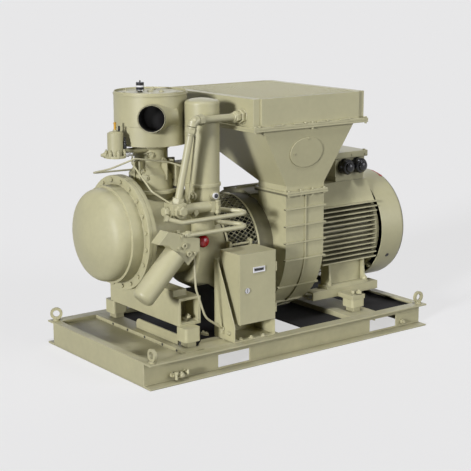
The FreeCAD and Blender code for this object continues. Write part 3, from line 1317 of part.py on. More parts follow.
def oil_filter_canister():
    end = OIL_FILTER_LENGTH
    outer = OIL_FILTER_RADIUS
    wall = OIL_FILTER_WALL
    round_centre = (end - OIL_FILTER_END, outer - OIL_FILTER_END)
    outside = rounded(round_centre, OIL_FILTER_END, 90, 0, ROUND_FACES)
    inside = rounded(round_centre, OIL_FILTER_END - wall, 90, 0, ROUND_FACES)
    return turned([(0, outer - wall), (0, outer)] + outside + [(end, 0), (end - wall, 0)] + inside[::-1],
                  OIL_FILTER, SLOPE)


def nut_at(place, towards, width, length):
    return hexagon(width, length, place, towards - place)


def oil_pipes():
    """Two hairpin pipes from the valve block and the filter head to the drive cover."""
    pipes = []
    supports = (thermostat_block(), oil_filter_head(), canister_head())
    for route in (OIL_PIPE_UPPER, OIL_PIPE_LOWER):
        pipe = tube_along(list(route), OIL_PIPE_RADIUS, OIL_PIPE_BEND)
        first = nut_at(route[0], route[1], OIL_NUT, OIL_NUT_LENGTH)
        last = nut_at(route[-1], route[-2], OIL_NUT, OIL_NUT_LENGTH)
        pipes.append(seated(joined([pipe, first, last]), *supports))
    return group(pipes)


def air_pipe():
    """The compressed air pipe from the valve block up to the cooler."""
    route = list(AIR_PIPE_ROUTE)
    pipe = tube_along(route, AIR_PIPE_RADIUS, AIR_PIPE_BEND)
    nuts = [nut_at(route[0], route[1], AIR_NUT, AIR_NUT_LENGTH),
            nut_at(route[-1], route[-2], AIR_NUT, AIR_NUT_LENGTH)]
    return seated(joined([pipe] + nuts), thermostat_block(), canister_head(), cooler_frame())


def rectangle(x0, x1, y0, y1, z):
    return [V(x0, y0, z), V(x1, y0, z), V(x1, y1, z), V(x0, y1, z)]


def duct_funnel(inset):
    """A flat-sided funnel from the fan outlet to the underside of the cooler."""
    lower = rectangle(VOLUTE_LEFT + inset, VOLUTE_RIGHT - inset, -VOLUTE_FRONT + inset, -OUTLET_BACK - inset,
                      DUCT_NECK)
    upper = rectangle(DUCT_TOP_LEFT + inset, DUCT_TOP_RIGHT - inset, -DUCT_TOP_HALF + inset, DUCT_TOP_HALF - inset,
                      DUCT_TOP_Z)
    faces = [polygon(lower), polygon(upper)]
    for side in range(4):
        after = (side + 1) % 4
        faces.append(polygon([lower[side], lower[after], upper[after], upper[side]]))
    return Part.Solid(Part.Shell(faces))


DUCT_LOW = OUTLET_Z + FLANGE_PLATE
DUCT_NECK = DUCT_LOW + FLANGE_PLATE + NECK_STRAIGHT


def cooler_duct():
    """The funnel of sheet between the fan outlet and the cooler, with a flange at each end."""
    top = DUCT_TOP_Z + FLANGE_PLATE
    funnel = duct_funnel(0)
    lower = box(VOLUTE_LEFT - DUCT_SIDE_LIP, VOLUTE_RIGHT + DUCT_SIDE_LIP, -VOLUTE_FRONT - DUCT_LIP,
                -OUTLET_BACK + DUCT_LIP, DUCT_LOW, DUCT_LOW + FLANGE_PLATE)
    straight = box(VOLUTE_LEFT, VOLUTE_RIGHT, -VOLUTE_FRONT, -OUTLET_BACK, DUCT_LOW, DUCT_NECK)
    upper = box(COOLER_LEFT - COOLER_LIP, COOLER_RIGHT + COOLER_LIP, -COOLER_HALF - COOLER_LIP,
                COOLER_HALF + COOLER_LIP, DUCT_TOP_Z, top)
    wall = DUCT_WALL
    air = duct_funnel(wall)
    neck = box(VOLUTE_LEFT + wall, VOLUTE_RIGHT - wall, -VOLUTE_FRONT + wall, -OUTLET_BACK - wall,
               DUCT_LOW, DUCT_NECK)
    mouth = box(DUCT_TOP_LEFT + wall, DUCT_TOP_RIGHT - wall, -DUCT_TOP_HALF + wall, DUCT_TOP_HALF - wall,
                DUCT_TOP_Z, top)
    return joined([funnel, straight, lower, upper]).cut(air).cut(neck).cut(mouth)


def duct_cover():
    """The oval inspection cover on the sloping front of the duct."""
    rise = DUCT_TOP_Z - DUCT_NECK
    run = DUCT_TOP_HALF - VOLUTE_FRONT
    share = (rise - COVER_DROP) / rise
    centre = V(COVER_X, -VOLUTE_FRONT - run * share, DUCT_NECK + rise * share)
    oval = Part.Wire([Part.Ellipse(V(0, 0, 0), COVER_HALF_WIDTH, COVER_HALF_HEIGHT).toShape()])
    cover = Part.Face(oval).extrude(Z * COVER_THICK)
    cover.rotate(V(0, 0, 0), X, 180 - math.degrees(math.atan2(rise, run)))
    cover.translate(centre)
    return cover


def cooler_frame():
    """Two end tanks, front and back plates with set-back corner strips, and the bottom flange."""
    top = COOLER_TOP
    low = COOLER_BOTTOM
    front = -COOLER_HALF
    recess = COOLER_RECESS
    lip = box(COOLER_LEFT - COOLER_LIP, COOLER_RIGHT + COOLER_LIP, front - COOLER_LIP, COOLER_HALF + COOLER_LIP,
              DUCT_TOP_Z + FLANGE_PLATE, low)
    lip = lip.cut(box(DUCT_TOP_LEFT, DUCT_TOP_RIGHT, -DUCT_TOP_HALF, DUCT_TOP_HALF, DUCT_TOP_Z, low))
    solids = [lip]
    for left in (COOLER_LEFT, COOLER_RIGHT - COOLER_TANK):
        solids.append(box(left, left + COOLER_TANK, front + recess, COOLER_HALF - recess, low, top))
    plate = box(COOLER_LEFT + COOLER_STRIP, COOLER_RIGHT - COOLER_STRIP, front, front + recess + COOLER_PLATE,
                low, top)
    solids = solids + [plate, mirrored_y(plate)]
    frame = joined(solids)
    wall = COOLER_PLATE
    for left in (COOLER_LEFT, COOLER_RIGHT - COOLER_TANK):
        frame = frame.cut(box(left + wall, left + COOLER_TANK - wall, front + recess + COOLER_PLATE,
                              COOLER_HALF - recess - COOLER_PLATE, low + wall, top - wall))
    port = rod(AIR_PIPE_RADIUS, wall + 2, V(COOLER_LEFT - 1, AIR_PIPE_ROUTE[0].y, AIR_PIPE_ROUTE[0].z), X)
    return frame.cut(port)


def cooler_core():
    """Flat tubes from tank to tank, spaced so that air passes between them."""
    reach = COOLER_HALF - COOLER_RECESS - COOLER_PLATE
    pitch = 2 * reach / CORE_TUBES
    tubes = []
    for step in range(CORE_TUBES):
        middle = -reach + (step + 0.5) * pitch
        tubes.append(box(COOLER_LEFT + COOLER_TANK, COOLER_RIGHT - COOLER_TANK, middle - CORE_TUBE_THICK / 2,
                         middle + CORE_TUBE_THICK / 2, COOLER_BOTTOM + CORE_DROP, COOLER_TOP - CORE_DROP))
    return group(tubes)


def duct_bolts():
    """Bolts and nuts of the duct's two flanges."""
    bolts = []
    inset = FLANGE_BOLT_INSET
    side_y = COOLER_HALF + COOLER_LIP / 2
    for share in (0, 0.5, 1):
        x = COOLER_LEFT + (COOLER_RIGHT - COOLER_LEFT) * share
        for side in (-1, 1):
            bolts.append(hexagon(FLANGE_BOLT, FLANGE_BOLT_HEIGHT, V(x, side * side_y, COOLER_BOTTOM), Z))
            bolts.append(hexagon(FLANGE_BOLT, FLANGE_BOLT_HEIGHT, V(x, side * side_y, DUCT_TOP_Z), -Z))
    for step in range(LOW_FLANGE_BOLTS):
        share = step / (LOW_FLANGE_BOLTS - 1)
        x = VOLUTE_LEFT + inset + (VOLUTE_RIGHT - VOLUTE_LEFT - 2 * inset) * share
        front = -VOLUTE_FRONT - inset - RIB_HEIGHT / 4
        bolts.append(hexagon(FLANGE_BOLT, FLANGE_BOLT_HEIGHT, V(x, front, DUCT_LOW + FLANGE_PLATE), Z))
        for y in (front, -OUTLET_BACK + inset):
            bolts.append(hexagon(FLANGE_BOLT, FLANGE_BOLT_HEIGHT, V(x, y, OUTLET_Z), -Z))
    return bolts


def oil_filler_cap():
    """The cap that screws over the filler neck."""
    end = FILLER - Y * FILLER_LENGTH
    inner = FILLER_NECK + SEAT
    return turned([(SEAT, 0), (SEAT, inner), (-CAP_SKIRT, inner), (-CAP_SKIRT, CAP_RADIUS),
                   (CAP_HEIGHT - CAP_SKIRT, CAP_RADIUS), (CAP_HEIGHT - CAP_SKIRT, 0)], end, -Y)


def held_hose(route, radius, bend):
    """A hose with a collar at each end."""
    hose = tube_along(list(route), radius, bend)
    first = nut_at(route[0], route[1], HOSE_COLLAR * 2, HOSE_COLLAR_LENGTH)
    last = nut_at(route[-1], route[-2], HOSE_COLLAR * 2, HOSE_COLLAR_LENGTH)
    return joined([hose, first, last])


def control_tubes():
    supports = (air_pipe(), thermostat_block(), canister_head(), regulator_body())
    tubes = []
    for route in CONTROL_TUBE_ROUTES:
        tube = seated(held_hose(route, CONTROL_TUBE_RADIUS, CONTROL_TUBE_BEND), *supports)
        tubes.append(main_piece(tube))
    return group(tubes)


def control_hose():
    hose = held_hose(CONTROL_HOSE_ROUTE, CONTROL_TUBE_RADIUS, CONTROL_TUBE_BEND)
    return main_piece(seated(hose, intake_housing(), separator_canister()))


def drain_hose():
    hose = held_hose(DRAIN_HOSE_ROUTE, HOSE_RADIUS, HOSE_BEND)
    return main_piece(seated(hose, oil_filter_head(), control_bracket()))


DOOR_BACK = BOX_FRONT + DOOR_DEPTH
BODY_FRONT = DOOR_BACK + DOOR_GAP
HINGE_X = BOX_RIGHT + HINGE_RADIUS
HINGE_Y = BOX_FRONT + HINGE_RADIUS
LOCK_X = BOX_LEFT + LOCK_INSET


def knuckle(bore, low, high):
    solid = rod(HINGE_RADIUS, high - low, V(HINGE_X, HINGE_Y, low), Z)
    if bore > 0:
        solid = solid.cut(rod(bore, high - low, V(HINGE_X, HINGE_Y, low), Z))
    return solid


def control_box():
    """The sheet box, open at the front, with a catch lip and the fixed half of each hinge."""
    sheet = BOX_SHEET
    shell = box(BOX_LEFT, BOX_RIGHT, BODY_FRONT, BOX_BACK, BOX_BOTTOM, BOX_TOP)
    shell = shell.cut(box(BOX_LEFT + sheet, BOX_RIGHT - sheet, BODY_FRONT, BOX_BACK - sheet,
                          BOX_BOTTOM + sheet, BOX_TOP - sheet))
    lip = box(BOX_LEFT, BOX_LEFT + BOX_LIP, BODY_FRONT, BODY_FRONT + sheet, BOX_BOTTOM, BOX_TOP)
    solids = [shell, lip]
    for height in HINGE_HEIGHTS:
        half = HINGE_LENGTH / 2 + HINGE_GAP
        pin_low = height - half - HINGE_KNUCKLE
        pin_high = height + half + HINGE_KNUCKLE
        solids.append(rod(HINGE_PIN, pin_high - pin_low, V(HINGE_X, HINGE_Y, pin_low), Z))
        for low in (pin_low, height + half):
            high = low + HINGE_KNUCKLE
            solids.append(knuckle(0, low, high))
            solids.append(box(BOX_RIGHT, HINGE_X, HINGE_Y, BODY_FRONT + HINGE_KNUCKLE, low, high))
    return joined(solids)


def control_box_door():
    """The door with turned-in edges, its lock hole and the moving half of each hinge."""
    sheet = BOX_SHEET
    right = BOX_RIGHT - DOOR_RELIEF
    outer = box(BOX_LEFT, right, BOX_FRONT, DOOR_BACK, BOX_BOTTOM, BOX_TOP)
    outer = outer.cut(box(BOX_LEFT + sheet, right - sheet, BOX_FRONT + sheet, DOOR_BACK,
                          BOX_BOTTOM + sheet, BOX_TOP - sheet))
    bore = HINGE_PIN + HINGE_GAP
    solids = [outer]
    for height in HINGE_HEIGHTS:
        low = height - HINGE_LENGTH / 2
        high = height + HINGE_LENGTH / 2
        solids.append(knuckle(bore, low, high))
        solids.append(box(right - sheet, HINGE_X - bore - 1, HINGE_Y - HINGE_PIN, HINGE_Y + HINGE_PIN, low, high))
    hole = rod(LOCK_STEM + SEAT, sheet, V(LOCK_X, BOX_FRONT, LOCK_Z), Y)
    return joined(solids).cut(hole)


def door_display():
    return box(DISPLAY_X - DISPLAY_WIDTH / 2, DISPLAY_X + DISPLAY_WIDTH / 2, BOX_FRONT - DISPLAY_THICK, BOX_FRONT,
               DISPLAY_Z - DISPLAY_HEIGHT / 2, DISPLAY_Z + DISPLAY_HEIGHT / 2)


def door_lock():
    """The quarter-turn lock; its cam stands upright and reaches behind the lip when turned."""
    head = rod(LOCK_RADIUS, LOCK_HEAD, V(LOCK_X, BOX_FRONT - SEAT, LOCK_Z), -Y)
    cam_front = BODY_FRONT + BOX_SHEET + DOOR_GAP
    stem = rod(LOCK_STEM, cam_front + CAM_THICK - BOX_FRONT + SEAT, V(LOCK_X, BOX_FRONT - SEAT, LOCK_Z), Y)
    cam = box(LOCK_X - CAM_WIDTH / 2, LOCK_X + CAM_WIDTH / 2, cam_front, cam_front + CAM_THICK,
              LOCK_Z, LOCK_Z + CAM_LENGTH)
    return joined([head, stem, cam])


def control_bracket():
    """The back plate behind the box and its two slanted side plates with feet."""
    back = box(BRACKET_LEFT, BOX_RIGHT, BOX_BACK, BOX_BACK + BRACKET_SHEET, SKID_HEIGHT, BRACKET_TOP)
    foot = box(BRACKET_LEFT, BOX_RIGHT, -BRACKET_FOOT, BOX_BACK, SKID_HEIGHT, SKID_HEIGHT + BRACKET_SHEET)
    side = [V(BRACKET_LEFT, BOX_BACK, SKID_HEIGHT), V(BRACKET_LEFT, -BRACKET_FOOT, SKID_HEIGHT),
            V(BRACKET_LEFT, -BRACKET_FOOT, BOX_BOTTOM - BRACKET_SHEET),
            V(BRACKET_LEFT, BOX_BACK - BRACKET_STRIP, BRACKET_TOP), V(BRACKET_LEFT, BOX_BACK, BRACKET_TOP)]
    left = prism(side, X * BRACKET_SHEET)
    low_side = [V(BOX_RIGHT, BOX_BACK, SKID_HEIGHT), V(BOX_RIGHT, -BRACKET_FOOT, SKID_HEIGHT),
                V(BOX_RIGHT, -BRACKET_FOOT, BOX_BOTTOM - BRACKET_SHEET),
                V(BOX_RIGHT, BOX_BACK, BOX_BOTTOM - BRACKET_SHEET)]
    right = prism(low_side, -X * BRACKET_SHEET)
    return joined([back, foot, left, right])


def regulator_body():
    """The pressure regulator, held by a short arm from the neck of the intake housing."""
    body = rod(REGULATOR_RADIUS, REGULATOR_HEIGHT, REGULATOR, Z)
    foot = rod(REGULATOR_RADIUS + REGULATOR_FOOT, REGULATOR_FOOT, REGULATOR, Z)
    arm = rod(REGULATOR_ARM, FILTER_X - REGULATOR.x, REGULATOR + Z * (REGULATOR_FOOT + REGULATOR_ARM), X)
    neck = rod(INTAKE_NECK, DRUM_BOTTOM - INTAKE_NECK_Z, V(FILTER_X, 0, INTAKE_NECK_Z), Z)
    return seated(joined([body, foot, arm]), neck)


def regulator_knob():
    low = REGULATOR + Z * (REGULATOR_HEIGHT + SEAT)
    stem = rod(KNOB_RADIUS, KNOB_HEIGHT, low, Z)
    top = low.z + KNOB_HEIGHT
    bar = box(low.x - KNOB_BAR / 2, low.x + KNOB_BAR / 2, low.y - KNOB_BAR_THICK / 2, low.y + KNOB_BAR_THICK / 2,
              top - 2 * KNOB_BAR_THICK, top - KNOB_BAR_THICK)
    return joined([stem, bar])


def drain_fittings():
    """Plugs and a stud on the web of the front beam."""
    fittings = []
    for x in (DRAIN_X, DRAIN_PLUG_X, DRAIN_RIGHT_X):
        place = V(x, -WEB_OUTER, DRAIN_Z)
        fittings.append(joined([hexagon(2 * DRAIN_RADIUS, DRAIN_REACH / 2, place, -Y),
                                rod(DRAIN_RADIUS / 2, DRAIN_REACH, place, -Y)]))
    return group(fittings)


def machine_mounts():
    saddle_x = SADDLE_LEFT + MOUNT_LENGTH / 2
    mounts = []
    for side in (-1, 1):
        mounts.append(machine_mount(saddle_x, side * SADDLE_MOUNT_Y, SADDLE_BOTTOM))
        mounts.append(machine_mount(MOTOR_MOUNT_X, side * MOTOR_MOUNT_Y, RAIL_BOTTOM))
    return group(mounts)


os.makedirs("parts", exist_ok=True)

save("skid_beam_front", skid_beam())
save("skid_beam_rear", mirrored_y(skid_beam()))
save("skid_ends", group([skid_end(-1), skid_end(1)]))
save("cross_members", cross_members())
save("lifting_eyes", lifting_eyes())
save("machine_mounts", machine_mounts())
save("vessel_saddle", vessel_saddle())
save("motor_rails", motor_rails())
save("motor_frame", motor_frame())
save("motor_end_shields", motor_end_shields())
save("motor_stator", motor_stator())
save("motor_fan_cowl", motor_fan_cowl())
save("motor_shaft", motor_shaft())
save("motor_rotor_core", motor_rotor_core())
save("motor_cooling_fan", motor_cooling_fan())
save("shaft_bearings", shaft_bearings())
save("terminal_box", terminal_box())
save("terminal_box_lid", terminal_box_lid())
save("cable_glands", cable_glands())
save("fan_volute", fan_volute())
save("fan_impeller", fan_impeller())
save("fan_guard", fan_guard())
save("coupling", coupling())
save("drive_cover", drive_cover())
save("airend_casting", airend_casting())
save("vessel_cover", vessel_cover())
save("flange_bolts", group(vessel_bolts() + duct_bolts()))
save("separator_element", separator_element())
save("male_rotor", male_rotor())
save("female_rotor", female_rotor())
save("intake_housing", intake_housing())
save("intake_valve_disc", intake_valve_disc())
save("air_filter_drum", air_filter_drum())
save("air_filter_lid", air_filter_lid())
save("service_indicator", service_indicator())
save("air_filter_element", air_filter_element())
save("separator_canister", separator_canister())
save("canister_head", canister_head())
save("sight_ring", sight_ring())
save("thermostat_block", thermostat_block())
save("oil_filter_head", oil_filter_head())
save("oil_filter_canister", oil_filter_canister())
save("oil_pipes", oil_pipes())
save("air_pipe", air_pipe())
save("oil_filler_cap", oil_filler_cap())
save("cooler_duct", cooler_duct())
save("duct_cover", duct_cover())
save("cooler_frame", cooler_frame())
save("cooler_core", cooler_core())
save("control_tubes", control_tubes())
save("control_hose", control_hose())
save("drain_hose", drain_hose())
save("control_box", control_box())
save("control_box_door", control_box_door())
save("door_display", door_display())
save("door_lock", door_lock())
save("control_bracket", control_bracket())
save("regulator_body", regulator_body())
save("regulator_knob", regulator_knob())
save("drain_fittings", drain_fittings())
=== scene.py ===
# %% [markdown]
# # A rotary screw air compressor on its skid
# The machine comes apart on a bench into castings, sheet covers, pipes, filters and a steel
# frame, and nearly all of it wears one khaki-beige machine paint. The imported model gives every
# piece its place. This lesson gives each of them a finish and adds the small fittings that a
# fitter would see.

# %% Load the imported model
import math
import bpy
from mathutils import Matrix, Vector
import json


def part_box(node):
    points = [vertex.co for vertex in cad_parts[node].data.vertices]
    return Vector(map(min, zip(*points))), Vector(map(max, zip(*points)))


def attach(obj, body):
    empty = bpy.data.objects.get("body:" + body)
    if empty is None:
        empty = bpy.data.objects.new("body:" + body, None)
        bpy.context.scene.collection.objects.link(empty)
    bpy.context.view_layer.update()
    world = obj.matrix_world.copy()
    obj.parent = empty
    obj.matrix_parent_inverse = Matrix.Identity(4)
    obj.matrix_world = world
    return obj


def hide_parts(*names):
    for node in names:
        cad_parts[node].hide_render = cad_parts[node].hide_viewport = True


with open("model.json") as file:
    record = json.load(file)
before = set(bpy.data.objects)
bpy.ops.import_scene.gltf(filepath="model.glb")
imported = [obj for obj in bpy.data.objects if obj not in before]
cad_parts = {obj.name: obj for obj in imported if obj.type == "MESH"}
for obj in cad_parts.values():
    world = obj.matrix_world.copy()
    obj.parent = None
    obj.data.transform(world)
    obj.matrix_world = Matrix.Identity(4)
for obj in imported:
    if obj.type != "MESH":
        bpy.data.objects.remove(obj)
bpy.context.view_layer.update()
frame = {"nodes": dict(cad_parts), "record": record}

nodes = frame["nodes"]
body_of = {node: body for body, members in frame["record"]["behaviour"]["bodies"].items()
           for node in members}
bpy.ops.object.select_all(action="DESELECT")

# %% [markdown]
# Drawings of such a machine count in millimetres from the middle of the skid. A small helper
# turns such a place into metres in the model's frame, so every number below is one that a
# fitter could measure with a rule.

# %% Places in millimetres
skid_low, skid_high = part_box("skid_beam_front")
SKID_MIDDLE = (skid_low.x + skid_high.x) / 2
SHAFT_Z = 583
X, Y, Z = Vector((1, 0, 0)), Vector((0, 1, 0)), Vector((0, 0, 1))


def spot(x, y, z):
    return Vector((SKID_MIDDLE + x / 1000, y / 1000, z / 1000))


def aimed(place, axis, turn=0):
    """Stands a piece made along +Z at the origin on a place, facing along an axis."""
    face = Vector(axis).to_track_quat("Z", "Y").to_matrix().to_4x4()
    return Matrix.Translation(place) @ face @ Matrix.Rotation(math.radians(turn), 4, "Z")


print("middle of the skid at x =", round(SKID_MIDDLE, 4))

# %% [markdown]
# The camera stands a little above the machine, ahead of its left end, with a long lens. It
# looks along a heading turned from +Y towards +X and a few degrees down.

# %% Camera
HEADING = 0.6494
DIP = 0.2127
LENS = 95.75
CAMERA_PLACE = (-4.4356, -5.8141, 2.1947)
camera_data = bpy.data.cameras.new("camera")
camera_data.sensor_width = 36
camera_data.lens = LENS
camera_data.clip_end = 400
camera = bpy.data.objects.new("camera", camera_data)
camera.location = CAMERA_PLACE
camera.rotation_euler = (math.pi / 2 - DIP, 0, -HEADING)
bpy.context.scene.collection.objects.link(camera)
bpy.context.scene.camera = camera
print("camera lens:", LENS, "mm")

# %% [markdown]
# The floor is one pale sheet that runs to the horizon. Its colour is what the camera and the
# shiny pieces see. For all other light it is nearly black, so that the undersides of the
# machine stay as deep as in a dim hall.

# %% Floor
FLOOR_SIZE = 600
FLOOR_DROP = 0.0005
FLOOR_DULL = 0.03
FLOOR_PALE = 0.30
FLOOR_GLOW = (0.785, 0.780, 0.772, 1)
GLOW_STRENGTH = 0.77


def new_material(name):
    material = bpy.data.materials.new(name)
    material.use_nodes = True
    tree = material.node_tree
    tree.nodes.clear()
    return material, tree


def add(tree, kind, **values):
    node = tree.nodes.new(kind)
    for key, value in values.items():
        setattr(node, key, value)
    return node


def math_node(tree, operation, first, second, clamp=False):
    node = add(tree, "ShaderNodeMath", operation=operation, use_clamp=clamp)
    for socket, value in zip(node.inputs, (first, second)):
        if isinstance(value, (int, float)):
            socket.default_value = value
        else:
            tree.links.new(value, socket)
    return node.outputs[0]


def seen_directly(tree):
    """1 for a ray from the camera, or sent on by a shiny or clear surface, and 0 for the rest."""
    path = add(tree, "ShaderNodeLightPath")
    camera_or_gloss = math_node(tree, "MAXIMUM", path.outputs["Is Camera Ray"],
                                path.outputs["Is Glossy Ray"])
    return math_node(tree, "MAXIMUM", camera_or_gloss, path.outputs["Is Transmission Ray"])


floor_material, tree = new_material("pale_floor")
dull = add(tree, "ShaderNodeBsdfDiffuse")
dull.inputs["Color"].default_value = (FLOOR_DULL, FLOOR_DULL, FLOOR_DULL, 1)
pale = add(tree, "ShaderNodeBsdfDiffuse")
pale.inputs["Color"].default_value = (FLOOR_PALE, FLOOR_PALE, FLOOR_PALE, 1)
glow = add(tree, "ShaderNodeEmission")
glow.inputs["Color"].default_value = FLOOR_GLOW
glow.inputs["Strength"].default_value = GLOW_STRENGTH
seen_side = add(tree, "ShaderNodeAddShader")
mix = add(tree, "ShaderNodeMixShader")
output = add(tree, "ShaderNodeOutputMaterial")
tree.links.new(pale.outputs[0], seen_side.inputs[0])
tree.links.new(glow.outputs[0], seen_side.inputs[1])
tree.links.new(seen_directly(tree), mix.inputs["Fac"])
tree.links.new(dull.outputs[0], mix.inputs[1])
tree.links.new(seen_side.outputs[0], mix.inputs[2])
tree.links.new(mix.outputs[0], output.inputs["Surface"])

bpy.ops.mesh.primitive_plane_add(size=FLOOR_SIZE, location=(0, 0, -FLOOR_DROP))
floor = bpy.context.active_object
floor.name = "pale_floor"
floor.data.materials.append(floor_material)
print("floor:", [round(side) for side in floor.dimensions], "m")

# %% [markdown]
# Soft boxes on stands would light one end of a machine this long more than the other. Suns
# stand for them here, because they light it evenly: a low key from the left, a wide fill from
# the front right, a soft one overhead for the top faces and a faint edge light from behind.
# The hall itself is dim, and only the camera and shiny surfaces see its pale walls.

# %% Lamps
LAMP_TINT = (0.98, 0.99, 1.06)
DIM_HALL = (0.016, 0.016, 0.017, 1)
PALE_WALLS = (0.38, 0.38, 0.38, 1)
SUNS = {
    "key_from_left": ((-0.93, -0.32, 0.18), 2.95, 9),
    "fill_from_front_right": ((0.45, -0.84, 0.25), 1.08, 30),
    "soft_overhead": ((-0.12, -0.34, 0.93), 1.20, 12),
    "edge_from_behind": ((0.55, 0.75, 0.35), 0.35, 40),
}
for name, (towards, strength, spread) in SUNS.items():
    lamp = bpy.data.lights.new(name, "SUN")
    lamp.energy = strength
    lamp.color = LAMP_TINT
    lamp.angle = math.radians(spread)
    sun = bpy.data.objects.new(name, lamp)
    sun.rotation_euler = Vector(towards).to_track_quat("Z", "Y").to_euler()
    bpy.context.scene.collection.objects.link(sun)

world = bpy.data.worlds.new("hall")
bpy.context.scene.world = world
world.use_nodes = True
sky = world.node_tree
dim_hall = sky.nodes["Background"]
dim_hall.inputs["Color"].default_value = DIM_HALL
pale_walls = add(sky, "ShaderNodeBackground")
pale_walls.inputs["Color"].default_value = PALE_WALLS
hall = add(sky, "ShaderNodeMixShader")
sky.links.new(seen_directly(sky), hall.inputs["Fac"])
sky.links.new(dim_hall.outputs[0], hall.inputs[1])
sky.links.new(pale_walls.outputs[0], hall.inputs[2])
sky.links.new(hall.outputs[0], sky.nodes["World Output"].inputs["Surface"])
bpy.context.scene.view_settings.view_transform = "Standard"
print("suns:", len(SUNS))

# %% [markdown]
# Machine paint is never one flat colour. It is a touch uneven, its skin has the fine ripple of
# orange peel or the grit of sand casting under it, it thins on edges, darkens in corners where
# grime gathers and where shade falls, that shade painted into its colour, and pales where dust
# settles. Each of these effects is a node group of its own, so that every finish can use it with
# its own values.

# %% Effect group helper


def effect(name, inputs, outputs):
    group = bpy.data.node_groups.new(name, "ShaderNodeTree")
    for label, value in inputs.items():
        socket = group.interface.new_socket(label, in_out="INPUT", socket_type="NodeSocketFloat")
        socket.default_value = value
    for label in outputs:
        group.interface.new_socket(label, in_out="OUTPUT", socket_type="NodeSocketFloat")
    start = add(group, "NodeGroupInput")
    end = add(group, "NodeGroupOutput")
    return group, start, end


def noise_node(tree, scale, detail, roughness=0.5):
    place = add(tree, "ShaderNodeTexCoord")
    noise = add(tree, "ShaderNodeTexNoise")
    tree.links.new(place.outputs["Object"], noise.inputs["Vector"])
    noise.inputs["Detail"].default_value = detail
    noise.inputs["Roughness"].default_value = roughness
    if isinstance(scale, (int, float)):
        noise.inputs["Scale"].default_value = scale
    else:
        tree.links.new(scale, noise.inputs["Scale"])
    return noise.outputs["Fac"]


def spread_node(tree, value, low, high):
    ramp = add(tree, "ShaderNodeMapRange")
    tree.links.new(value, ramp.inputs["Value"])
    ramp.inputs["From Min"].default_value = low
    ramp.inputs["From Max"].default_value = high
    return ramp.outputs["Result"]


print("effect helpers ready")

# %% [markdown]
# Paint varies in broad patches with finer ones inside them, so two noises are added. The grain
# is the ripple of sprayed paint, or the sand under it on a casting, and feeds the bump.

# %% Uneven colour and grain
mottle, start, end = effect("uneven_colour", {"Patch Size": 5.0}, ["Patches"])
broad = noise_node(mottle, start.outputs["Patch Size"], 3)
fine = noise_node(mottle, math_node(mottle, "MULTIPLY", start.outputs["Patch Size"], 7.0), 4)
both = math_node(mottle, "ADD", math_node(mottle, "MULTIPLY", broad, 0.65),
                 math_node(mottle, "MULTIPLY", fine, 0.35))
mottle.links.new(spread_node(mottle, both, 0.34, 0.66), end.inputs["Patches"])

grain, start, end = effect("surface_grain", {"Grains Per Metre": 300.0}, ["Height"])
peel = noise_node(grain, start.outputs["Grains Per Metre"], 3, 0.55)
waves = noise_node(grain, math_node(grain, "MULTIPLY", start.outputs["Grains Per Metre"], 0.13), 2)
heights = math_node(grain, "ADD", math_node(grain, "MULTIPLY", waves, 1.6), peel)
grain.links.new(heights, end.inputs["Height"])
print("groups:", mottle.name, grain.name)

# %% [markdown]
# An edge is worn where the Bevel node's rounded normal turns away from the flat one. Grime sits
# where ambient occlusion finds little open air, and the same mask paints the shade that falls in
# those corners; dust lies on what faces upwards. Noise breaks up all three, because a clean
# outline would look printed.

# %% Worn edges, grime with painted shade, and dust
rub, start, end = effect("worn_edges", {"Reach": 0.004, "Ragged": 60.0}, ["Mask"])
bevel = add(rub, "ShaderNodeBevel", samples=4)
rub.links.new(start.outputs["Reach"], bevel.inputs["Radius"])
surface = add(rub, "ShaderNodeNewGeometry")
same_way = add(rub, "ShaderNodeVectorMath", operation="DOT_PRODUCT")
rub.links.new(bevel.outputs["Normal"], same_way.inputs[0])
rub.links.new(surface.outputs["Normal"], same_way.inputs[1])
turned_away = math_node(rub, "SUBTRACT", 1.0, same_way.outputs["Value"])
ragged = spread_node(rub, noise_node(rub, start.outputs["Ragged"], 4), 0.40, 0.62)
rub.links.new(math_node(rub, "MULTIPLY", spread_node(rub, turned_away, 0.02, 0.16), ragged, True),
              end.inputs["Mask"])

# Grime in corners, and painted shade: the colour darkens where ambient occlusion finds little open air.
grime_and_shade, start, end = effect("corner_grime_and_shade", {"Reach": 0.05}, ["Mask"])
corner = add(grime_and_shade, "ShaderNodeAmbientOcclusion", samples=8)
grime_and_shade.links.new(start.outputs["Reach"], corner.inputs["Distance"])
open_air = corner.outputs["AO"]
hidden = math_node(grime_and_shade, "SUBTRACT", 1.0, open_air)
smudge = spread_node(grime_and_shade, noise_node(grime_and_shade, 26.0, 4), 0.25, 0.75)
smudged = math_node(grime_and_shade, "ADD", 0.65, math_node(grime_and_shade, "MULTIPLY", smudge, 0.35))
grime_and_shade.links.new(math_node(grime_and_shade, "MULTIPLY", spread_node(grime_and_shade, hidden, 0.25, 0.95), smudged, True),
                end.inputs["Mask"])

dust, start, end = effect("settled_dust", {"Cover": 0.5}, ["Mask"])
surface = add(dust, "ShaderNodeNewGeometry")
split = add(dust, "ShaderNodeSeparateXYZ")
dust.links.new(surface.outputs["Normal"], split.inputs[0])
upward = spread_node(dust, split.outputs["Z"], 0.45, 1.0)
drift = spread_node(dust, noise_node(dust, 9.0, 5), 0.35, 0.70)
dust.links.new(math_node(dust, "MULTIPLY", math_node(dust, "MULTIPLY", upward, drift),
                         start.outputs["Cover"], True), end.inputs["Mask"])
print("groups:", rub.name, grime_and_shade.name, dust.name)

# %% [markdown]
# A finish is a Principled shader with these effects placed round it. The paint takes them all;
# metals and plastics take fewer. Roughness follows the patches a little, so that a
# broad highlight breaks up as it does on real paint.

# %% Finish helper
BARE_EDGE = (0.62, 0.59, 0.48)
DUST_COLOUR = (0.56, 0.53, 0.42)
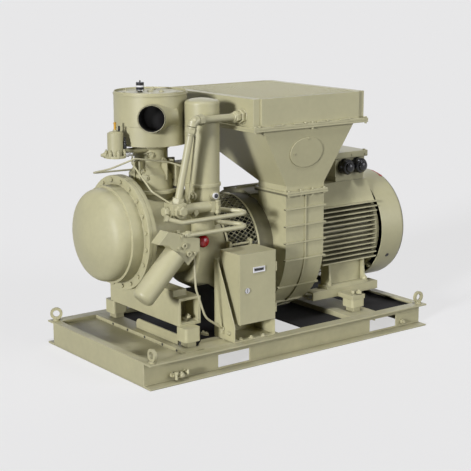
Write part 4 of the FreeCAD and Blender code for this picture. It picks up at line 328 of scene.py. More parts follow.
# The dark of grime, which also paints the shade that falls in corners.
GRIME_AND_SHADE_COLOUR = (0.075, 0.068, 0.040)
BUMP_HEIGHT = 0.002
COAT_ROUGHNESS = 0.15


def place_group(tree, group, **values):
    node = add(tree, "ShaderNodeGroup", node_tree=group)
    for label, value in values.items():
        node.inputs[label.replace("_", " ")].default_value = value
    return node.outputs[0]


def blend_colour(tree, amount, first, second):
    node = add(tree, "ShaderNodeMix", data_type="RGBA", clamp_factor=True)
    tree.links.new(amount, node.inputs["Factor"])
    for socket, value in ((node.inputs[6], first), (node.inputs[7], second)):
        if isinstance(value, tuple):
            socket.default_value = (*value, 1)
        else:
            tree.links.new(value, socket)
    return node.outputs[2]


def finish(name, colour, roughness, metallic=0.0, uneven=0.10, patch=5.0, grains=300.0, depth=0.06,
           wear=0.0, wear_colour=BARE_EDGE, dirt_and_shade=0.0, dirt_and_shade_reach=0.05, dusty=0.0, coat=0.0):
    material, tree = new_material(name)
    shader = add(tree, "ShaderNodeBsdfPrincipled")
    output = add(tree, "ShaderNodeOutputMaterial")
    tree.links.new(shader.outputs[0], output.inputs["Surface"])
    patches = place_group(tree, mottle, Patch_Size=patch)
    low = tuple(channel * (1 - uneven) for channel in colour)
    high = tuple(min(1, channel * (1 + uneven)) for channel in colour)
    paint = blend_colour(tree, patches, low, high)
    if dusty > 0:
        paint = blend_colour(tree, place_group(tree, dust, Cover=dusty), paint, DUST_COLOUR)
    if wear > 0:
        rubbed = math_node(tree, "MULTIPLY", place_group(tree, rub), wear)
        paint = blend_colour(tree, rubbed, paint, wear_colour)
    # Grime and painted shade darken the colour in corners.
    if dirt_and_shade > 0:
        dirt_and_shade_mask = math_node(tree, "MULTIPLY", place_group(tree, grime_and_shade, Reach=dirt_and_shade_reach), dirt_and_shade)
        paint = blend_colour(tree, dirt_and_shade_mask, paint, GRIME_AND_SHADE_COLOUR)
    tree.links.new(paint, shader.inputs["Base Color"])
    gloss = add(tree, "ShaderNodeMapRange")
    tree.links.new(patches, gloss.inputs["Value"])
    gloss.inputs["To Min"].default_value = roughness - 0.05
    gloss.inputs["To Max"].default_value = roughness + 0.06
    tree.links.new(gloss.outputs["Result"], shader.inputs["Roughness"])
    bump = add(tree, "ShaderNodeBump")
    bump.inputs["Strength"].default_value = depth
    bump.inputs["Distance"].default_value = BUMP_HEIGHT
    tree.links.new(place_group(tree, grain, Grains_Per_Metre=grains), bump.inputs["Height"])
    tree.links.new(bump.outputs["Normal"], shader.inputs["Normal"])
    shader.inputs["Metallic"].default_value = metallic
    shader.inputs["Coat Weight"].default_value = coat
    shader.inputs["Coat Roughness"].default_value = COAT_ROUGHNESS
    return material


print("finish helper ready")

# %% [markdown]
# One khaki serves sheet, castings and frame, and their grain, roughness and dirt, with the shade
# painted in corners, tell them apart. Each other finish is its own colour: black trim, red and white
# plastic, a dark screen, chrome, brass, steel, hose and filter paper.

# %% The finishes of this machine
KHAKI = (0.480, 0.450, 0.262)
sheet_paint = finish("sheet_paint", KHAKI, 0.42, uneven=0.05, grains=260, depth=0.05, wear=0.35,
                     dirt_and_shade=0.75, dusty=0.30)
cast_paint = finish("cast_paint", KHAKI, 0.50, uneven=0.07, grains=170, depth=0.22, wear=0.35,
                    dirt_and_shade=0.85, dirt_and_shade_reach=0.06, dusty=0.35)
frame_paint = finish("frame_paint", (0.440, 0.410, 0.238), 0.50, uneven=0.09, patch=4.0, grains=120,
                     depth=0.16, wear=0.45, dirt_and_shade=0.80, dusty=0.30)
pipe_paint = finish("pipe_paint", (0.500, 0.470, 0.285), 0.36, uneven=0.05, grains=240, depth=0.05,
                    wear=0.20, dirt_and_shade=0.70, dirt_and_shade_reach=0.025)
black_paint = finish("black_paint", (0.018, 0.017, 0.016), 0.55, uneven=0.25, grains=240, depth=0.10,
                     wear=0.30, wear_colour=(0.16, 0.15, 0.13), dusty=0.12)
black_plastic = finish("black_plastic", (0.010, 0.010, 0.011), 0.24, uneven=0.20, grains=700, depth=0.03)
red_plastic = finish("red_plastic", (0.520, 0.006, 0.014), 0.20, uneven=0.12, grains=500, depth=0.03,
                     dirt_and_shade=0.35, dirt_and_shade_reach=0.02, coat=0.3)
white_plastic = finish("white_plastic", (0.74, 0.73, 0.72), 0.32, uneven=0.04, grains=500, depth=0.03,
                       dirt_and_shade=0.30, dirt_and_shade_reach=0.01)
dark_screen = finish("dark_screen", (0.008, 0.008, 0.009), 0.38, uneven=0.15, grains=40, depth=0.01,
                     coat=0.15)
chrome = finish("chrome_trim", (0.62, 0.62, 0.63), 0.14, metallic=1.0, uneven=0.05, grains=500,
                depth=0.03, dirt_and_shade=0.55, dirt_and_shade_reach=0.008)
brass = finish("brass_fitting", (0.62, 0.36, 0.07), 0.26, metallic=1.0, uneven=0.12, patch=40,
               grains=600, depth=0.05, dirt_and_shade=0.45, dirt_and_shade_reach=0.010)
steel = finish("turned_steel", (0.42, 0.42, 0.41), 0.30, metallic=1.0, uneven=0.10, patch=18, grains=420,
               depth=0.08, dirt_and_shade=0.45)
core_iron = finish("core_iron", (0.070, 0.066, 0.060), 0.62, metallic=0.4, uneven=0.25, grains=160,
                   depth=0.25)
painted_hose = finish("painted_hose", (0.490, 0.460, 0.290), 0.46, uneven=0.06, grains=420, depth=0.07,
                      dirt_and_shade=0.55, dirt_and_shade_reach=0.02)
filter_paper = finish("filter_paper", (0.52, 0.43, 0.26), 0.90, uneven=0.12, grains=500, depth=0.35)
print("khaki paint:", KHAKI)

# %% [markdown]
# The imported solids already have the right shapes, but their edges are knife-sharp, and real
# castings and folded sheets never are. Each larger node is copied, its loose triangles are
# merged into clean faces, every sharp edge gets a small round, and weighted normals keep the
# flat faces flat while the turned ones shade smoothly.

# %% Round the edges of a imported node
MERGE_REACH = 0.00002
SHARP_EDGE = math.radians(30)
NEARLY_FLAT = math.radians(0.4)


def choose(piece):
    bpy.ops.object.select_all(action="DESELECT")
    piece.select_set(True)
    bpy.context.view_layer.objects.active = piece


def edit_all(piece):
    """Enters edit mode with all of the piece selected."""
    choose(piece)
    bpy.ops.object.mode_set(mode="EDIT")
    bpy.ops.mesh.select_all(action="SELECT")


def apply_modifier(piece, name, kind, **settings):
    choose(piece)
    modifier = piece.modifiers.new(name, kind)
    for key, value in settings.items():
        setattr(modifier, key, value)
    bpy.ops.object.modifier_apply(modifier=name)


def soften(piece, width, segments=2):
    """Rounds the sharp edges and weights the normals towards the large faces."""
    piece.data.shade_smooth()
    if width > 0:
        apply_modifier(piece, "edge round", "BEVEL", width=width / 1000, segments=segments,
                       limit_method="ANGLE", angle_limit=SHARP_EDGE, miter_outer="MITER_ARC")
    apply_modifier(piece, "even normals", "WEIGHTED_NORMAL", weight=60, keep_sharp=False)


def wear_finish(piece, material):
    piece.data.materials.clear()
    piece.data.materials.append(material)


def dress(node, material, width, flatten=True):
    """A merged, edge-rounded copy of a node that stands for it."""
    piece = bpy.data.objects.new(node + "_finish", nodes[node].data.copy())
    bpy.context.scene.collection.objects.link(piece)
    edit_all(piece)
    bpy.ops.mesh.remove_doubles(threshold=MERGE_REACH)
    bpy.ops.mesh.customdata_custom_splitnormals_clear()
    if flatten:
        bpy.ops.mesh.dissolve_limited(angle_limit=NEARLY_FLAT)
    bpy.ops.object.mode_set(mode="OBJECT")
    soften(piece, width)
    wear_finish(piece, material)
    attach(piece, body_of[node])
    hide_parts(node)
    return piece


# The two long beams keep their triangles, because their pierced webs shade wrongly without them.
DRESSED = {
    "skid_beam_front": (frame_paint, 2.5), "skid_beam_rear": (frame_paint, 2.5),
    "skid_ends": (frame_paint, 2.5), "cross_members": (frame_paint, 2.5),
    "lifting_eyes": (frame_paint, 5.0), "machine_mounts": (cast_paint, 4.0),
    "vessel_saddle": (cast_paint, 4.0), "motor_rails": (frame_paint, 2.0),
    "motor_frame": (cast_paint, 1.5), "motor_end_shields": (cast_paint, 2.5),
    "motor_fan_cowl": (sheet_paint, 1.2), "terminal_box": (sheet_paint, 3.0),
    "terminal_box_lid": (sheet_paint, 4.0), "fan_volute": (cast_paint, 1.6),
    # The coupling guard is black, which paints the shade inside it.
    "fan_guard": (black_paint, 1.2), "drive_cover": (cast_paint, 4.0),
    "airend_casting": (cast_paint, 4.0), "vessel_cover": (cast_paint, 3.0),
    "flange_bolts": (cast_paint, 1.2), "intake_housing": (cast_paint, 3.5),
    "air_filter_drum": (sheet_paint, 3.0), "air_filter_lid": (sheet_paint, 2.0),
    "separator_canister": (sheet_paint, 2.0), "canister_head": (cast_paint, 3.5),
    "thermostat_block": (cast_paint, 3.0), "oil_filter_head": (cast_paint, 3.0),
    "oil_filter_canister": (sheet_paint, 2.0), "oil_pipes": (pipe_paint, 1.2),
    "air_pipe": (pipe_paint, 1.5), "cooler_duct": (sheet_paint, 1.6),
    "duct_cover": (sheet_paint, 2.0), "cooler_frame": (sheet_paint, 2.5),
    "control_tubes": (pipe_paint, 0.8), "control_hose": (painted_hose, 0.8),
    "drain_hose": (painted_hose, 0.8), "control_box": (sheet_paint, 1.5),
    "control_box_door": (sheet_paint, 2.0), "control_bracket": (sheet_paint, 1.5),
    "regulator_body": (cast_paint, 3.0), "drain_fittings": (pipe_paint, 1.5),
    "coupling": (core_iron, 3.0),
}
for node, (material, width) in DRESSED.items():
    dress(node, material, width, flatten="beam" not in node)
print("dressed nodes:", len(DRESSED))

# %% [markdown]
# The inner pieces, and a few small ones that are smooth already, need no rounded edges. They keep
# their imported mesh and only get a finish, so that an opened machine still looks right.

# %% Finishes of inner and small pieces
INNER = {
    "motor_stator": core_iron, "motor_rotor_core": core_iron, "motor_shaft": steel,
    "shaft_bearings": steel, "motor_cooling_fan": black_plastic, "fan_impeller": black_paint,
    "separator_element": filter_paper, "male_rotor": steel, "female_rotor": steel,
    # The filter element is black, which paints the shade inside the drum.
    "intake_valve_disc": steel, "air_filter_element": black_paint, "cooler_core": pipe_paint,
    "cable_glands": black_plastic, "service_indicator": black_plastic,
    "sight_ring": white_plastic, "door_display": dark_screen, "door_lock": chrome, "regulator_knob": brass,
}
for node, material in INNER.items():
    nodes[node].data.materials.clear()
    nodes[node].data.materials.append(material)
print("inner and small nodes:", len(INNER))

# %% [markdown]
# Nuts, plugs, unions and collars are turned or pressed parts. On a lathe such a part is a row of
# diameters along one axis, and here it grows the same way: a flat circle is extruded upwards step
# by step, and every new rim is scaled about the axis. Six sides give a hexagon, eight a cast
# plug and many a round part, so one helper serves them all.

# %% Turned pieces


def close_up(merge=0):
    """Merges what lies double, points the faces outwards and leaves edit mode."""
    bpy.ops.mesh.select_all(action="SELECT")
    if merge > 0:
        bpy.ops.mesh.remove_doubles(threshold=merge)
    bpy.ops.mesh.normals_make_consistent(inside=False)
    bpy.ops.object.mode_set(mode="OBJECT")


def turned(name, steps, sides=32):
    """A closed turned piece along +Z; steps are (radius, height) pairs in millimetres."""
    bpy.ops.object.select_all(action="DESELECT")
    radius, height = steps[0]
    bpy.ops.mesh.primitive_circle_add(vertices=sides, radius=radius / 1000, fill_type="NGON")
    piece = bpy.context.active_object
    piece.name = name
    edit_all(piece)
    bpy.ops.transform.translate(value=(0, 0, height / 1000))
    for next_radius, next_height in steps[1:]:
        rise = (next_height - height) / 1000
        bpy.ops.mesh.extrude_region_move(TRANSFORM_OT_translate={"value": (0, 0, rise)})
        scale = next_radius / radius
        bpy.ops.transform.resize(value=(scale, scale, 1), center_override=(0, 0, next_height / 1000))
        radius, height = next_radius, next_height
    close_up()
    return piece


def joined(pieces, name):
    choose(pieces[0])
    for piece in pieces:
        piece.select_set(True)
    if len(pieces) > 1:
        bpy.ops.object.join()
    pieces[0].name = name
    return pieces[0]


def belong(piece, material, node):
    """Gives a piece its finish and lets it ride with the body of a node."""
    wear_finish(piece, material)
    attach(piece, body_of[node])
    print(piece.name + ":", len(piece.data.polygons), "faces")
    return piece


def complete(piece, material, node, edge=0.8, segments=1):
    """Rounds the edges of a new piece before it gets its finish and its body."""
    soften(piece, edge, segments)
    return belong(piece, material, node)


def stand(piece, place, axis, turn=0):
    piece.data.transform(aimed(place, axis, turn))
    return piece


def fitting(name, parts, place, axis, material, node, edge=0.8):
    """Turned parts on one axis, joined: parts are (sides, steps) pairs."""
    turnings = [turned(name, steps, sides) for sides, steps in parts]
    return complete(stand(joined(turnings, name), place, axis), material, node, edge)


print("turning helpers ready")

# %% [markdown]
# A bolted machine shows the same few fasteners again and again. Each kind is modelled once, as a
# hexagon with its corners taken off on a plain washer, and then copied to every seat. A real
# fitter never lines the flats up, so each copy is turned a little further than the last.

# %% Fasteners and their copies
FLATS_TURN = 17


def repeat(master, name, matrices):
    """Copies of one finished part, each with its own mesh, joined into one piece."""
    copies = []
    for matrix in matrices:
        copy = bpy.data.objects.new(name, master.data.copy())
        copy.data.transform(matrix)
        bpy.context.scene.collection.objects.link(copy)
        copies.append(copy)
    bpy.data.objects.remove(master)
    return joined(copies, name)


def hex_parts(across, height, washer=0.2):
    corner = across / math.sqrt(3)
    return [(6, [(corner, height * washer), (corner, height * 0.86), (corner * 0.86, height)]),
            (20, [(across * 0.60, 0), (across * 0.60, height * washer)])]


def nut_parts(across, height):
    stud = across * 0.29
    stud_steps = [(stud, 0), (stud, height * 1.4), (stud * 0.8, height * 1.55)]
    return hex_parts(across, height) + [(16, stud_steps)]


def socket_parts(radius, height):
    return [(24, [(radius, 0), (radius, height * 0.85), (radius * 0.9, height), (radius * 0.5, height),
                  (radius * 0.45, height * 0.4)])]


def scatter(name, parts, seats, material, node, edge=0.6):
    """Copies of one fastener on every seat, given as (place in mm, axis) pairs."""
    master = joined([turned(name, steps, sides) for sides, steps in parts], name + "_master")
    soften(master, edge, 1)
    matrices = [aimed(spot(*place), axis, FLATS_TURN * count)
                for count, (place, axis) in enumerate(seats)]
    return belong(repeat(master, name, matrices), material, node)


LEFT = -X
FRONT = -Y
BEAM_TOP = 140
print("fastener helpers ready")

# %% [markdown]
# Plates, boxes and ribs start as a cube that is resized between two corners and bevelled. A
# folded rim or a cast pocket is the broad face inset and pushed in, and a clamp band is a circle
# extruded along its axis, with the Solidify modifier for its wall.

# %% Sheet and cast blocks


def block(name, low, high, edge=2.0):
    """A block between two corners in millimetres, its edges rounded in edit mode."""
    bpy.ops.object.select_all(action="DESELECT")
    low, high = spot(*low), spot(*high)
    bpy.ops.mesh.primitive_cube_add(size=1)
    piece = bpy.context.active_object
    piece.name = name
    edit_all(piece)
    bpy.ops.transform.resize(value=high - low, center_override=(0, 0, 0))
    bpy.ops.transform.translate(value=(low + high) / 2)
    if edge > 0:
        bpy.ops.mesh.bevel(offset=edge / 1000, segments=2, affect="EDGES")
    bpy.ops.object.mode_set(mode="OBJECT")
    return piece


def recess(piece, direction, border, depth):
    """Insets the broad face that looks one way and pushes it in."""
    choose(piece)
    bpy.context.tool_settings.mesh_select_mode = (False, False, True)
    bpy.ops.object.mode_set(mode="EDIT")
    bpy.ops.mesh.select_all(action="DESELECT")
    bpy.ops.object.mode_set(mode="OBJECT")
    facing = [face for face in piece.data.polygons if face.normal.dot(direction) > 0.99]
    max(facing, key=lambda face: face.area).select = True
    bpy.ops.object.mode_set(mode="EDIT")
    bpy.ops.mesh.inset(thickness=border / 1000, depth=0)
    bpy.ops.transform.translate(value=direction * (-depth / 1000))
    bpy.ops.object.mode_set(mode="OBJECT")
    bpy.context.tool_settings.mesh_select_mode = (True, False, False)
    return piece


def hoop(name, radius, width, thick, sides=96):
    """An open band round +Z, from 0 to its width, with its wall outside the radius."""
    bpy.ops.object.select_all(action="DESELECT")
    bpy.ops.mesh.primitive_circle_add(vertices=sides, radius=radius / 1000)
    piece = bpy.context.active_object
    piece.name = name
    edit_all(piece)
    bpy.ops.mesh.extrude_region_move(TRANSFORM_OT_translate={"value": (0, 0, width / 1000)})
    close_up()
    apply_modifier(piece, "wall", "SOLIDIFY", thickness=thick / 1000, offset=1)
    return piece


def band(name, ring, place, axis, material, node, edge, segments=1):
    """A finished hoop on its place; the ring is its (radius, width, wall)."""
    return complete(stand(hoop(name, *ring), place, axis), material, node, edge, segments)


print("block and hoop helpers ready")

# %% [markdown]
# The cooler is a bar-and-plate core, and from above its air fins read as fine close lines. One
# fin is a thin upright sheet across the core. The Array modifier repeats it at an even pitch,
# which is how a fin mill makes them, and the factory sprayed them with the rest.

# %% Cooler fins
FIN_PITCH = 0.0055
core_low, core_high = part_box("cooler_core")
fin_count = int((core_high.x - core_low.x) / FIN_PITCH) - 1
fin_left = (core_low.x - SKID_MIDDLE) * 1000 + 3
fin_reach = core_high.y * 1000 - 2
fin_top = core_high.z * 1000 + 2.5
fins = block("cooler_fins", (fin_left, -fin_reach, fin_top - 9), (fin_left + 1.6, fin_reach, fin_top),
             0.3)
apply_modifier(fins, "row", "ARRAY", count=fin_count, use_relative_offset=False,
               use_constant_offset=True, constant_offset_displace=(FIN_PITCH, 0, 0))
complete(fins, pipe_paint, "cooler_core", edge=0)
print("cooler fins:", fin_count)

# %% [markdown]
# The air pipe leaves the cooler through a flanged boss and two big hexagons, and turns down in a
# screwed elbow with a union on each leg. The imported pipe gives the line, and the fittings are
# threaded on it: each is a row of turned parts aimed along the leg that it sits on.

# %% Air pipe unions
PIPE_START = Vector((-252, -336, 1377))
PIPE_CORNER = Vector((-623, -385, 1385))
PIPE_END = Vector((-702, -345, 935))
level = (PIPE_START - PIPE_CORNER).normalized()
falling = (PIPE_END - PIPE_CORNER).normalized()
fitting("cooler_union", [(40, [(42, 0), (42, 7), (39, 9)]),
                         (6, [(38, 8), (41, 11), (41, 28), (37, 32)]),
                         (32, [(27, 30), (27, 40)]),
                         (6, [(31, 38), (33, 41), (33, 64), (30, 68)]),
                         (32, [(25, 66), (25, 78), (21, 80)])],
        spot(*PIPE_START), -level, pipe_paint, "air_pipe")
elbow_leg = [(32, [(24, 0), (24, 34), (27, 36), (27, 43)]),
             (6, [(28, 42), (30.5, 45), (30.5, 66), (27, 70)]),
             (32, [(24, 68), (24, 78), (21, 81)])]
fitting("elbow_level_leg", elbow_leg, spot(*PIPE_CORNER), level, pipe_paint, "air_pipe")
fitting("elbow_falling_leg", elbow_leg, spot(*PIPE_CORNER), falling, pipe_paint, "air_pipe")

# %% [markdown]
# A cast elbow has its bend in one piece. A disc stands at the mouth of the level leg and is spun
# about the middle of the bend until it faces down the falling leg.

# %% Air pipe elbow
ELBOW_REACH = 0.034
ELBOW_RADIUS = 26.2
elbow_turn = math.pi - level.angle(falling)
elbow_axis = level.cross(falling).normalized()
to_centre = (level + falling).normalized() * (ELBOW_REACH / math.cos(level.angle(falling) / 2))
elbow = turned("elbow_bend", [(ELBOW_RADIUS, 0)], 32)
elbow.data.transform(aimed(spot(*PIPE_CORNER) + level * ELBOW_REACH, level))
edit_all(elbow)
bpy.ops.mesh.spin(steps=12, angle=elbow_turn, center=spot(*PIPE_CORNER) + to_centre, axis=elbow_axis)
close_up(MERGE_REACH)
complete(elbow, pipe_paint, "air_pipe", edge=0)

# %% [markdown]
# Between the air end and the cooling fan runs the coupling, fenced by a cone of expanded metal
# in the machine's paint. The imported guard behind it is painted black, which paints the deep
# shade inside the guard. Real expanded metal is a sheet that is slit and stretched into diamonds.
# Here a ring is extruded into a net of squares, every second corner is dissolved, which turns the
# squares into diamonds, and the Wireframe modifier gives the strands their thickness. Two painted
# bands clamp its edges.

# %% Coupling guard mesh
GUARD_LEFT, GUARD_RIGHT = -304, -102
GUARD_SMALL, GUARD_LARGE = 271, 297
GUARD_ROUND, GUARD_ROWS = 128, 11
bpy.ops.object.select_all(action="DESELECT")
bpy.ops.mesh.primitive_circle_add(vertices=GUARD_ROUND, radius=GUARD_SMALL / 1000)
mesh_guard = bpy.context.active_object
mesh_guard.name = "guard_mesh"
edit_all(mesh_guard)
row_rise = (GUARD_RIGHT - GUARD_LEFT) / GUARD_ROWS / 1000
radii = [GUARD_SMALL + (GUARD_LARGE - GUARD_SMALL) * row / GUARD_ROWS for row in range(GUARD_ROWS + 1)]
for row in range(GUARD_ROWS):
    bpy.ops.mesh.extrude_region_move(TRANSFORM_OT_translate={"value": (0, 0, row_rise)})
    widen = radii[row + 1] / radii[row]
    bpy.ops.transform.resize(value=(widen, widen, 1), center_override=(0, 0, 0))
bpy.ops.mesh.select_all(action="SELECT")
bpy.ops.mesh.unsubdivide(iterations=1)
bpy.ops.object.mode_set(mode="OBJECT")
apply_modifier(mesh_guard, "strands", "WIREFRAME", thickness=0.0036, use_even_offset=False)
complete(stand(mesh_guard, spot(GUARD_LEFT, 0, SHAFT_Z), X), cast_paint, "fan_guard", edge=0)
band("guard_band_small", (GUARD_SMALL, 14, 4), spot(GUARD_LEFT - 6, 0, SHAFT_Z), X,
     cast_paint, "fan_guard", 1)
band("guard_band_large", (GUARD_LARGE, 12, 4), spot(GUARD_RIGHT - 6, 0, SHAFT_Z), X,
     cast_paint, "fan_guard", 1)
LUG_REACH = GUARD_SMALL + 4
lug_ways = [Vector((0, -math.cos(math.radians(turn)), math.sin(math.radians(turn))))
            for turn in range(0, 360, 30)]
scatter("guard_lugs", nut_parts(17, 9),
        [((GUARD_LEFT + 4, way.y * LUG_REACH, SHAFT_Z + way.z * LUG_REACH), way) for way in lug_ways],
        cast_paint, "fan_guard")
clamp = [block("guard_clamp", (x, -302, 630), (x + 18, -262, 668), 3) for x in (-318, -172)]
clamp.append(block("guard_clamp", (-318, -296, 640), (-154, -286, 652), 2))
complete(joined(clamp, "guard_clamp"), cast_paint, "fan_guard", edge=0)

# %% [markdown]
# Some imported pieces have two finishes: the filter drum is painted outside and black inside, which
# paints the shade in it, and the fan housing's inlet ring is a dark khaki, which paints the shade
# that falls on it. A second material slot holds that finish, and the faces are chosen by their place.

# %% Second finishes
SPOUT = spot(-775, -215, 1388)
SPOUT_HEADING = math.radians(52.8)
SPOUT_WAY = Vector((math.cos(SPOUT_HEADING), math.sin(SPOUT_HEADING), 0))
SPOUT_BORE = 0.0725
DRUM_X = -640
DRUM_AXIS = spot(DRUM_X, 0, 0)
DRUM_INSIDE = 0.1995
DRUM_FLOOR, DRUM_CEILING = 1.228, 1.499
INLET_RING_END = SKID_MIDDLE + 0.010


def second_finish(piece, material, test):
    """Gives a second material to the faces whose centre and normal pass a test."""
    piece.data.materials.append(material)
    chosen = [face for face in piece.data.polygons if test(face.center, face.normal)]
    for face in chosen:
        face.material_index = 1
    print(piece.name, "faces in", material.name + ":", len(chosen))


def in_drum(centre, normal):
    inward = centre - SPOUT
    along = inward.dot(SPOUT_WAY)
    in_bore = along > 0.0005 and (inward - SPOUT_WAY * along).length < SPOUT_BORE
    flat = Vector((centre.x - DRUM_AXIS.x, centre.y, 0))
    return in_bore or (flat.length < DRUM_INSIDE and DRUM_FLOOR < centre.z < DRUM_CEILING)


# A dark khaki that paints the shade on the fan housing's inlet ring.
inlet_painted_shade = finish("inlet_painted_shade", (0.150, 0.139, 0.080), 0.60, uneven=0.20, grains=170, depth=0.20,
                      dirt_and_shade=0.8)
# Black inside the drum and its inlet bore paints the shade there.
second_finish(bpy.data.objects["air_filter_drum_finish"], black_paint, in_drum)
second_finish(bpy.data.objects["fan_volute_finish"], inlet_painted_shade,
              lambda centre, normal: centre.x < INLET_RING_END)

# %% [markdown]
# The control box has a small white bezel with a dark screen, a chrome quarter-turn lock with a
# slot, and nuts on its bracket. The bezel starts as a block whose front is inset and pushed in,
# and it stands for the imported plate.

# %% Control box trim
DOOR_FACE = -500
bezel = block("display_bezel", (-306, DOOR_FACE - 6, 525), (-222, DOOR_FACE - 0.4, 557), 1.5)
recess(bezel, FRONT, 7.5, 2.5)
complete(bezel, white_plastic, "door_display", edge=0)
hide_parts("door_display")
screen = block("display_screen", (-297, DOOR_FACE - 4.4, 533.5), (-231, DOOR_FACE - 1, 548.5), 0.8)
complete(recess(screen, FRONT, 1.2, 0.5), dark_screen, "door_display", edge=0)
# The lock's slot is black, which paints the shade in it.
slot = block("lock_slot", (-347.6, DOOR_FACE - 5.6, 419), (-344.4, DOOR_FACE - 4.6, 441), 0.3)
complete(recess(slot, FRONT, 0.4, 0.3), black_plastic, "door_lock", edge=0)
scatter("bracket_nuts", nut_parts(24, 12),
        [((-430, -393, 184), LEFT), ((-430, -450, 188), LEFT), ((-470, -285, BEAM_TOP + 5), Z)],
        sheet_paint, "control_bracket")
scatter("beam_nuts", nut_parts(27, 13),
        [((-370, -470, BEAM_TOP), Z), ((-300, -480, BEAM_TOP), Z), ((-222, -490, BEAM_TOP), Z)],
        frame_paint, "skid_beam_front")

# %% [markdown]
# The oil filler cap is a moulded red knob with a crowned top. It is turned along the axis that
# it lifts off on, and one grip rib is modelled and copied round its skirt. The knob stands for
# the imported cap.

# %% Filler cap
cap_low, cap_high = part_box("oil_filler_cap")
cap_back = Vector(((cap_low.x + cap_high.x) / 2, cap_high.y, (cap_low.z + cap_high.z) / 2))
cap_knob = turned("filler_cap_knob", [(27, 0), (31, 0), (33, 2), (33, 17), (31.5, 22), (27, 27.5),
                                      (19, 31.5), (9, 33.5), (2, 34)], 48)
complete(stand(cap_knob, cap_back, FRONT), red_plastic, "oil_filler_cap", edge=0)
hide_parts("oil_filler_cap")
CAP_GRIPS = 24
rib = turned("grip_rib", [(2.2, 2), (2.6, 4), (2.6, 15), (1.2, 19)], 10)
rib.data.transform(Matrix.Translation((0.0330, 0, 0)))
rib.data.shade_smooth()
grips = repeat(rib, "filler_cap_grips", [aimed(cap_back, FRONT, step * 360 / CAP_GRIPS)
                                         for step in range(CAP_GRIPS)])
complete(grips, red_plastic, "oil_filler_cap", edge=0)

# %% [markdown]
# The regulator is a small cast valve with bosses round its foot, a bright union towards the
# machine, and a pilot and a stop screw beside its crown. Each is a turned fitting aimed away
# from the body.

# %% Regulator fittings
REGULATOR = Vector((-908, -58, 1172))
TO_RIGHT = Vector((0.796, -0.605, 0))
TO_VIEWER = Vector((-0.605, -0.796, 0))


def seat_round(centre, radius, degrees, z):
    """A place on an upright cylinder and the way it faces; the angle counts from the viewer."""
    way = Matrix.Rotation(math.radians(degrees), 3, "Z") @ TO_VIEWER
    return (centre[0] + way.x * radius, centre[1] + way.y * radius, z), way


ear_parts = [(16, [(10, 0), (10, 26), (8, 29)]), (6, [(8.5, 28), (8.5, 35), (7.5, 37)]),
             (12, [(3.5, 36), (3.5, 43), (2.5, 44)])]
scatter("regulator_ears", ear_parts, [(seat_round(REGULATOR, 50, angle, 1176)[0], Z)
                                      for angle in (-80, -28, 24, 76, 150)], cast_paint, "regulator_body")
regulator_middle = spot(*REGULATOR)
fitting("regulator_union",
        [(24, [(15, 34), (15, 52), (12, 54), (12, 60)]), (6, [(15, 59), (15, 72), (13, 74)]),
         (24, [(10, 73), (10, 96)])],
        regulator_middle + Z * 0.020, TO_RIGHT, steel, "regulator_body")
fitting("regulator_lug", [(8, [(20, 30), (17, 60), (11, 70), (8, 71)]), (6, [(9, 70), (9, 78), (7, 80)])],
        regulator_middle + Z * 0.014, -TO_RIGHT, cast_paint, "regulator_body")
fitting("regulator_pilot",
        [(16, [(10, 0), (10, 22), (8, 24), (8, 30)]), (6, [(11, 29), (11, 40), (9, 42)]),
         (12, [(5, 41), (5, 60), (3, 62)])],
        regulator_middle + TO_RIGHT * 0.052 + Z * 0.050, Z, black_plastic, "regulator_body")
fitting("regulator_crown", [(32, [(36, 0), (36, 4), (31, 8), (20, 10)]), (6, [(13, 9), (13, 17), (11, 19)])],
        regulator_middle + Z * 0.1345, Z, cast_paint, "regulator_body")
fitting("regulator_stop", [(12, [(6, 0), (6, 34), (4, 38)])],
        regulator_middle + TO_RIGHT * 0.022 + Z * 0.136, Z, black_plastic, "regulator_body")

# %% [markdown]
# The filter drum is pressed sheet with a rolled bead under its lid, three clips hold the lid,
# and the service indicator on top is a black body with a bright collar and a white window.

# %% Filter drum trim
DRUM_RADIUS = 203
band("drum_bead", (DRUM_RADIUS - 0.4, 8, 4), spot(DRUM_X, 0, 1500), Z, sheet_paint, "air_filter_drum",
     1.8, 2)
band("drum_rim", (197, 14, 4.5), spot(DRUM_X, 0, 1505), Z, sheet_paint, "air_filter_drum", 2, 2)
lid_ridge = stand(turned("lid_ridge", [(150, 0), (150, 2.5), (146, 4), (126, 4), (120, 1), (20, 0.6)], 96),
                  spot(DRUM_X, 0, 1510), Z)
complete(lid_ridge, sheet_paint, "air_filter_lid", edge=1)
scatter("lid_clips", [(8, [(15, 0), (15, 6), (10, 9)]), (16, [(5, 8), (5, 16), (4, 17)])],
        [((-731, 104, 1508), Z), ((-605, -62, 1510), Z), ((-560, 90, 1510), Z)],
        cast_paint, "air_filter_lid")
band("indicator_collar", (22.3, 7, 1.5), spot(-706, 0, 1519), Z, chrome, "service_indicator", 0.5)
band("indicator_window", (22.3, 9, 1), spot(-706, 0, 1540), Z, white_plastic, "service_indicator", 0.5)

# %% [markdown]
# The drum's inlet is a bent tube. Its mouth looks at the viewer and the tube swings to the right
# into the drum's wall. The outer skin of the bend is a circle that is spun about an upright axis
# and then drawn on into the drum; the Solidify modifier gives the sheet its thickness inwards.

